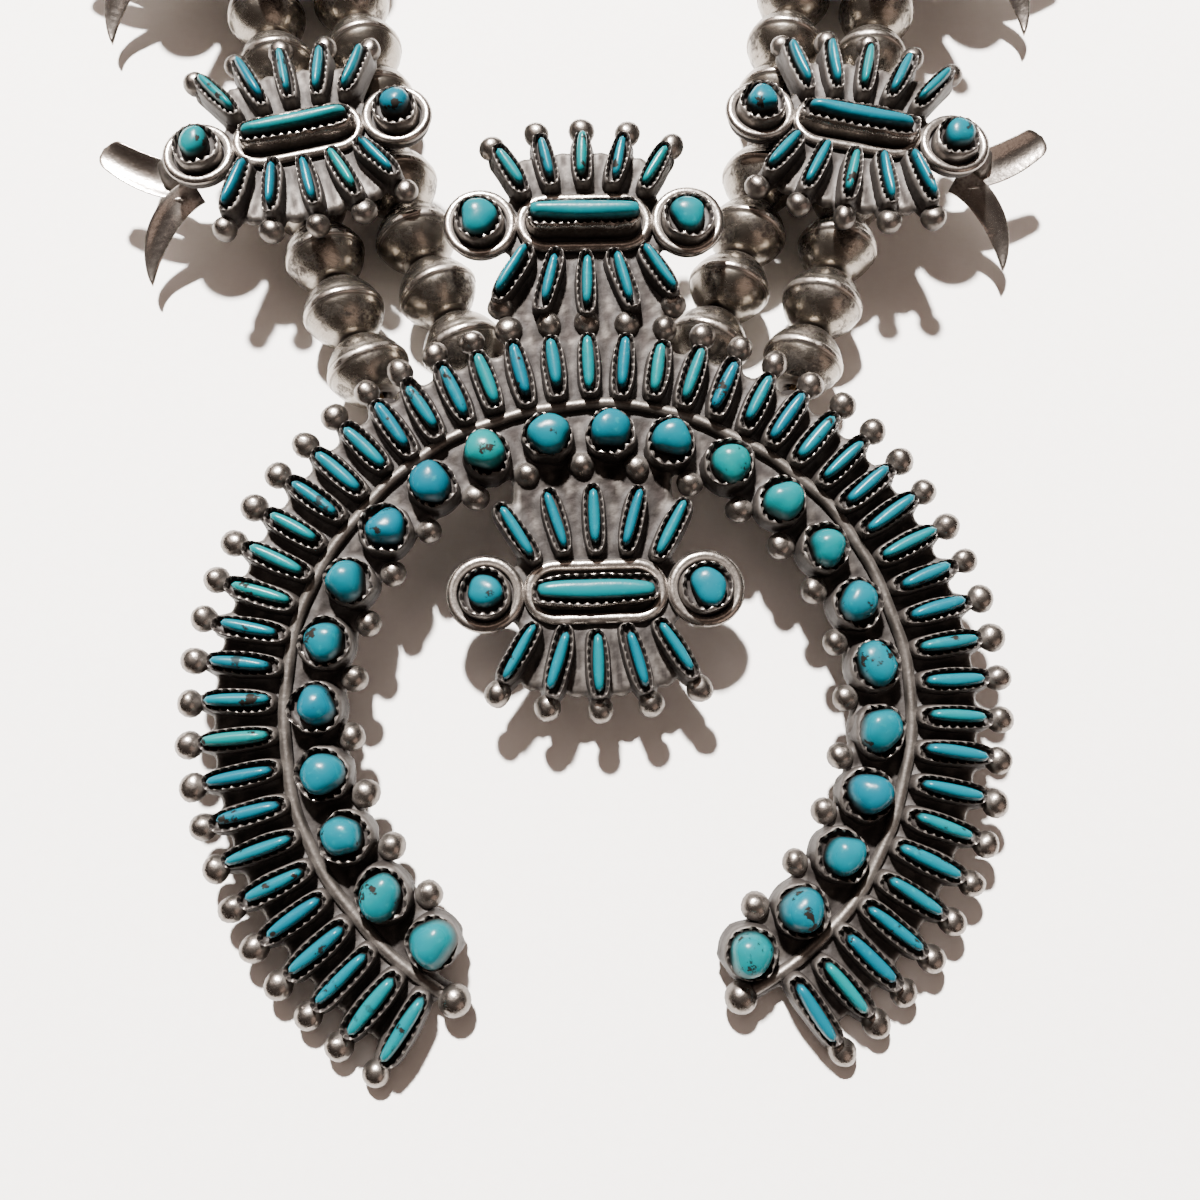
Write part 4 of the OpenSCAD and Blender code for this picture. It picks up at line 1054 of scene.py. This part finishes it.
class NECKLACE_OT_stones(bpy.types.Operator):
    """Set the needle, bar and round stones."""
    bl_idname = "necklace.stones"
    bl_label = "Turquoise"

    def execute(self, context):
        s = context.scene.necklace_settings
        wide, long_bar, bar_wide = mm(s.needle_width) + 0.14, mm(s.bar_length), mm(s.bar_width)
        needle = domed_stone(lambda i: leaf(5.7 - 3 * i, wide - 2 * i, 24, 0.58), mm(s.needle_wall) - 0.05, 0.8, wide)
        bar = domed_stone(lambda i: leaf(long_bar - 2 * i, bar_wide - 2 * i, 44, 0.3),
                          mm(s.bar_wall) - 0.1, 0.95, bar_wide)
        thin = domed_stone(lambda i: leaf(long_bar + 0.3 - 3 * i, bar_wide + 0.1 - 2 * i, 44, 0.5),
                           mm(s.bar_wall) - 0.05, 0.95, bar_wide + 0.1)
        side, round_ = (domed_stone(lambda i: pebble(ROUND_STONE - i, 26), wall, rise, 4.0)
                        for wall, rise in ((mm(s.side_wall) - 0.1, 1.1), (mm(s.round_wall) - 0.5, 1.75)))
        for name, plane, face in faces_of_all():
            lifted = plane @ shift(0, 0, mm(s.plate))
            seed = 5 if name == "naja" else BLOSSOMS.index(name) + 31
            high, first_row = (1, NEEDLES) if name == "naja" else (BLOSSOM_BAR, 0)
            nodes = PENDANT_STONES if name == "naja" else {"bar_stones": [name + "_stones"]}
            needles = [(at, (1 if k < first_row else 0.86, length / NEEDLE_MODEL, 1))
                       for k, (at, length) in enumerate(face.needles)]
            wide_side = 0.4 + high / 2
            # Each row: name, shape, places, turn, move and stretch by hand, then unevenness.
            rows = [
                ("needle_stones", needle, needles, 2.0, 0.05, 0.05, 0.16),
                ("bar_stones", bar if name == "naja" else thin, [(face.bars[0] @ turn(90), (high, 1, high))],
                 0.8, 0.03, 0.02, 0.2),
                ("low_bar_stones", thin, [(at @ turn(90), (1, 1, 0.65)) for at in face.bars[1:]],
                 0.8, 0.03, 0.02, 0.2),
                ("side_stones", side, [(at, (wide_side, wide_side, 1)) for at in face.sides], 90, 0.08, 0.06, 0.6),
                ("round_stones", round_, [(at, (1, 1, 1)) for at in face.rounds], 90, 0.14, 0.06, 0.8)]
            for row, shape, places, angle, move, stretch, uneven in rows:
                if places:
                    places = hand_set(lifted, places, seed, angle, move, stretch)
                    clean = {"flaw": [0.0] * len(places)} if "bar" in row else None
                    piece = set_in_rows(f"{name}_{row}", shape, places, turquoise(), uneven, 0.3, seed, clean)
                    hand_in(piece, turquoise(), "turquoise", *nodes.get(row, []))
        return {"FINISHED"}


def bead_shape():
    """A bead of two pressed halves, with its rubbed seam."""
    # Each pair: distance from the middle along the bore and radius, from the hole out to the seam.
    half = [(3.45, 0.9), (3.66, 1.05), (3.70, 1.35), (3.62, 1.75), (3.3, 2.35), (2.85, 2.9), (2.3, 3.4), (1.7, 3.82),
            (1.15, 4.12), (0.72, 4.28), (0.42, 4.33), (0.34, 4.46), (0.12, 4.52)]
    profile = half + [(-a, r) for a, r in half[::-1]]
    sides = 32
    t = round_angles(sides)
    verts, faces = loft([np.column_stack([r * np.cos(t), np.full(sides, a), r * np.sin(t)]) for a, r in profile],
                        closed=True)
    # Bright on the rubbed seam; darker at the holes and beside the seam.
    wear, grime = [], []
    for a, _ in profile:
        wear.append(np.full(sides, 0.75 if abs(a) < 0.4 else 0.1))
        grime.append(np.full(sides, 1.0 if abs(a) > 3.4 else 0.55 if 0.4 < abs(a) < 0.5 else 0.0))
    return verts, faces, {"wear": np.concatenate(wear), "grime": np.concatenate(grime)}


class NECKLACE_OT_beads(bpy.types.Operator):
    """Set the pressed beads on the places of the frame's beads."""
    bl_idname = "necklace.beads"
    bl_label = "Beads"

    def execute(self, context):
        angles = np.radians(np.arange(0, 180, 1.0))
        ways = np.stack([-np.sin(angles), np.cos(angles)], 1)
        for k, name in enumerate(STRANDS):
            random = np.random.default_rng(70 + k)
            places = []
            for points in islands(name):
                middle = (points.min(0) + points.max(0)) / 2
                reach = (points[:, :2] - middle[:2]) @ ways.T
                angle = math.degrees(angles[np.argmin(reach.max(0) - reach.min(0))])
                spin, tip, grow = random.uniform(0, 360), random.normal(0, 1.6), random.normal(1, 0.008)
                at = Matrix.Translation(middle) @ turn(angle + tip) @ turn(spin, "Y")
                places.append((at, (min(grow, 1.01),) * 3))
            piece = set_in_rows(name + "_beads", bead_shape(), places, bead_silver(), 0.45, 0.16, 90 + k)
            hand_in(piece, bead_silver(), "beads", name)
        return {"FINISHED"}


class NECKLACE_OT_thread_and_clasp(bpy.types.Operator):
    """Finish the threads and round off the plain clasp."""
    bl_idname = "necklace.thread_and_clasp"
    bl_label = "Threads and clasp"

    def execute(self, context):
        cord = bpy.data.objects["threads"]
        cord.data.materials.clear()
        cord.data.materials.append(finish_of("waxed cotton thread", waxed_thread))
        cord.data.polygons.foreach_set("material_index", [0] * len(cord.data.polygons))
        low, high = (np.array(c) * 1000 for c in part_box("clasp"))
        middle, half = (low + high) / 2, (high - low) / 2
        a, corner = round_angles(400), 2.6
        x = np.clip(1.6 * half[0] * np.cos(a), -half[0] + corner, half[0] - corner) + corner * np.cos(a)
        y = np.clip(1.6 * half[1] * np.sin(a), -half[1] + corner, half[1] - corner) + corner * np.sin(a)
        line = even_outline(np.stack([x, y], 1), 96)
        rings = []
        # Each pair: height out of 7.5 and how far the outline is drawn in.
        for z, inset in ((0, 1.0), (0.25, 0.35), (0.9, 0.0), (6.3, 0.0), (7.1, 0.4), (7.4, 0.95), (7.5, 1.8)):
            ring = line - outwards(line) * inset
            rings.append(np.column_stack([ring + middle[:2], np.full(96, low[2] + z * (high[2] - low[2]) / 7.5)]))
        verts, faces = loft(rings)
        wear = np.repeat([0.1, 0.3, 0.2, 0.2, 0.55, 0.4, 0.2], 96)
        piece = make_piece("clasp_block", verts, faces, {"wear": wear, "grime": np.zeros(len(verts))})
        hand_in(piece, bead_silver(), "silver", "clasp")
        return {"FINISHED"}


class NECKLACE_OT_stage(bpy.types.Operator):
    """Lay the table, hang the lights and set the camera."""
    bl_idname = "necklace.stage"
    bl_label = "Table, lights and camera"

    def execute(self, context):
        scene = context.scene
        verts = [(x * TABLE_HALF, y * TABLE_HALF, 0) for x, y in ((-1, -1), (1, -1), (1, 1), (-1, 1))]
        table = make_piece("table", verts, [(0, 1, 2, 3)], smooth=False)
        table.data.materials.append(finish_of("matt paper", matt_paper))
        for name, place, power, width, tint in LIGHTS:
            data = bpy.data.lights.new(name, "AREA")
            data.energy = power
            data.size = width
            data.color = linear(tint)[:3]
            light = bpy.data.objects.new(name, data)
            light.location = place
            light.rotation_euler = (Vector(LIGHT_TARGET) - Vector(place)).to_track_quat("-Z", "Y").to_euler()
            scene.collection.objects.link(light)
        world = bpy.data.worlds.new("soft room")
        world.use_nodes = True
        colour_input, strength_input = world.node_tree.nodes["Background"].inputs[:2]
        colour_input.default_value = linear(ROOM_COLOUR)
        strength_input.default_value = ROOM_STRENGTH
        scene.world = world
        centre = naja_plane().translation
        data = bpy.data.cameras.new("camera")
        data.sensor_fit = "HORIZONTAL"
        data.angle = 2 * math.atan(PICTURE_HALF / CAMERA_FOCAL)
        data.clip_start = 0.005
        camera = bpy.data.objects.new("camera", data)
        look, up = Vector(CAMERA_LOOK).normalized(), Vector(CAMERA_UP)
        side = look.cross(up).normalized()
        up = side.cross(look)
        x, y, z = CAMERA_PLACE
        place = Vector((x, centre.y + y, z)) / 1000
        camera.matrix_world = Matrix.Translation(place) @ Matrix((side, up, -look)).transposed().to_4x4()
        scene.collection.objects.link(camera)
        scene.camera = camera
        return {"FINISHED"}


OPERATORS = (NECKLACE_OT_stage, NECKLACE_OT_naja, NECKLACE_OT_blossoms, NECKLACE_OT_bezels,
             NECKLACE_OT_stones, NECKLACE_OT_beads, NECKLACE_OT_thread_and_clasp)


class NECKLACE_PT_panel(bpy.types.Panel):
    """Lists the sizes, the colours and the pieces of the necklace."""
    bl_idname = "NECKLACE_PT_panel"
    bl_label = "Squash blossom necklace"
    bl_space_type = "VIEW_3D"
    bl_region_type = "UI"
    bl_category = "Necklace"

    def draw(self, context):
        for group in (context.scene.necklace_naja, context.scene.necklace_settings, context.scene.necklace_finishes):
            box = self.layout.box()
            for key in group.__annotations__:
                box.prop(group, key)
        for operator in OPERATORS:
            self.layout.operator(operator.bl_idname)


CLASSES = (NajaSizes, SettingSizes, Finishes) + OPERATORS + (NECKLACE_PT_panel,)


def register():
    for cls in CLASSES:
        bpy.utils.register_class(cls)
    bpy.types.Scene.necklace_naja = bpy.props.PointerProperty(type=NajaSizes)
    bpy.types.Scene.necklace_settings = bpy.props.PointerProperty(type=SettingSizes)
    bpy.types.Scene.necklace_finishes = bpy.props.PointerProperty(type=Finishes)


def unregister():
    for name in ("necklace_naja", "necklace_settings", "necklace_finishes"):
        delattr(bpy.types.Scene, name)
    for cls in reversed(CLASSES):
        bpy.utils.unregister_class(cls)


def main():
    register()
    bpy.ops.necklace.stage()
    bpy.ops.necklace.naja()
    bpy.ops.necklace.blossoms()
    bpy.ops.necklace.bezels()
    bpy.ops.necklace.stones()
    bpy.ops.necklace.beads()
    bpy.ops.necklace.thread_and_clasp()


if __name__ == "__main__":
    main()
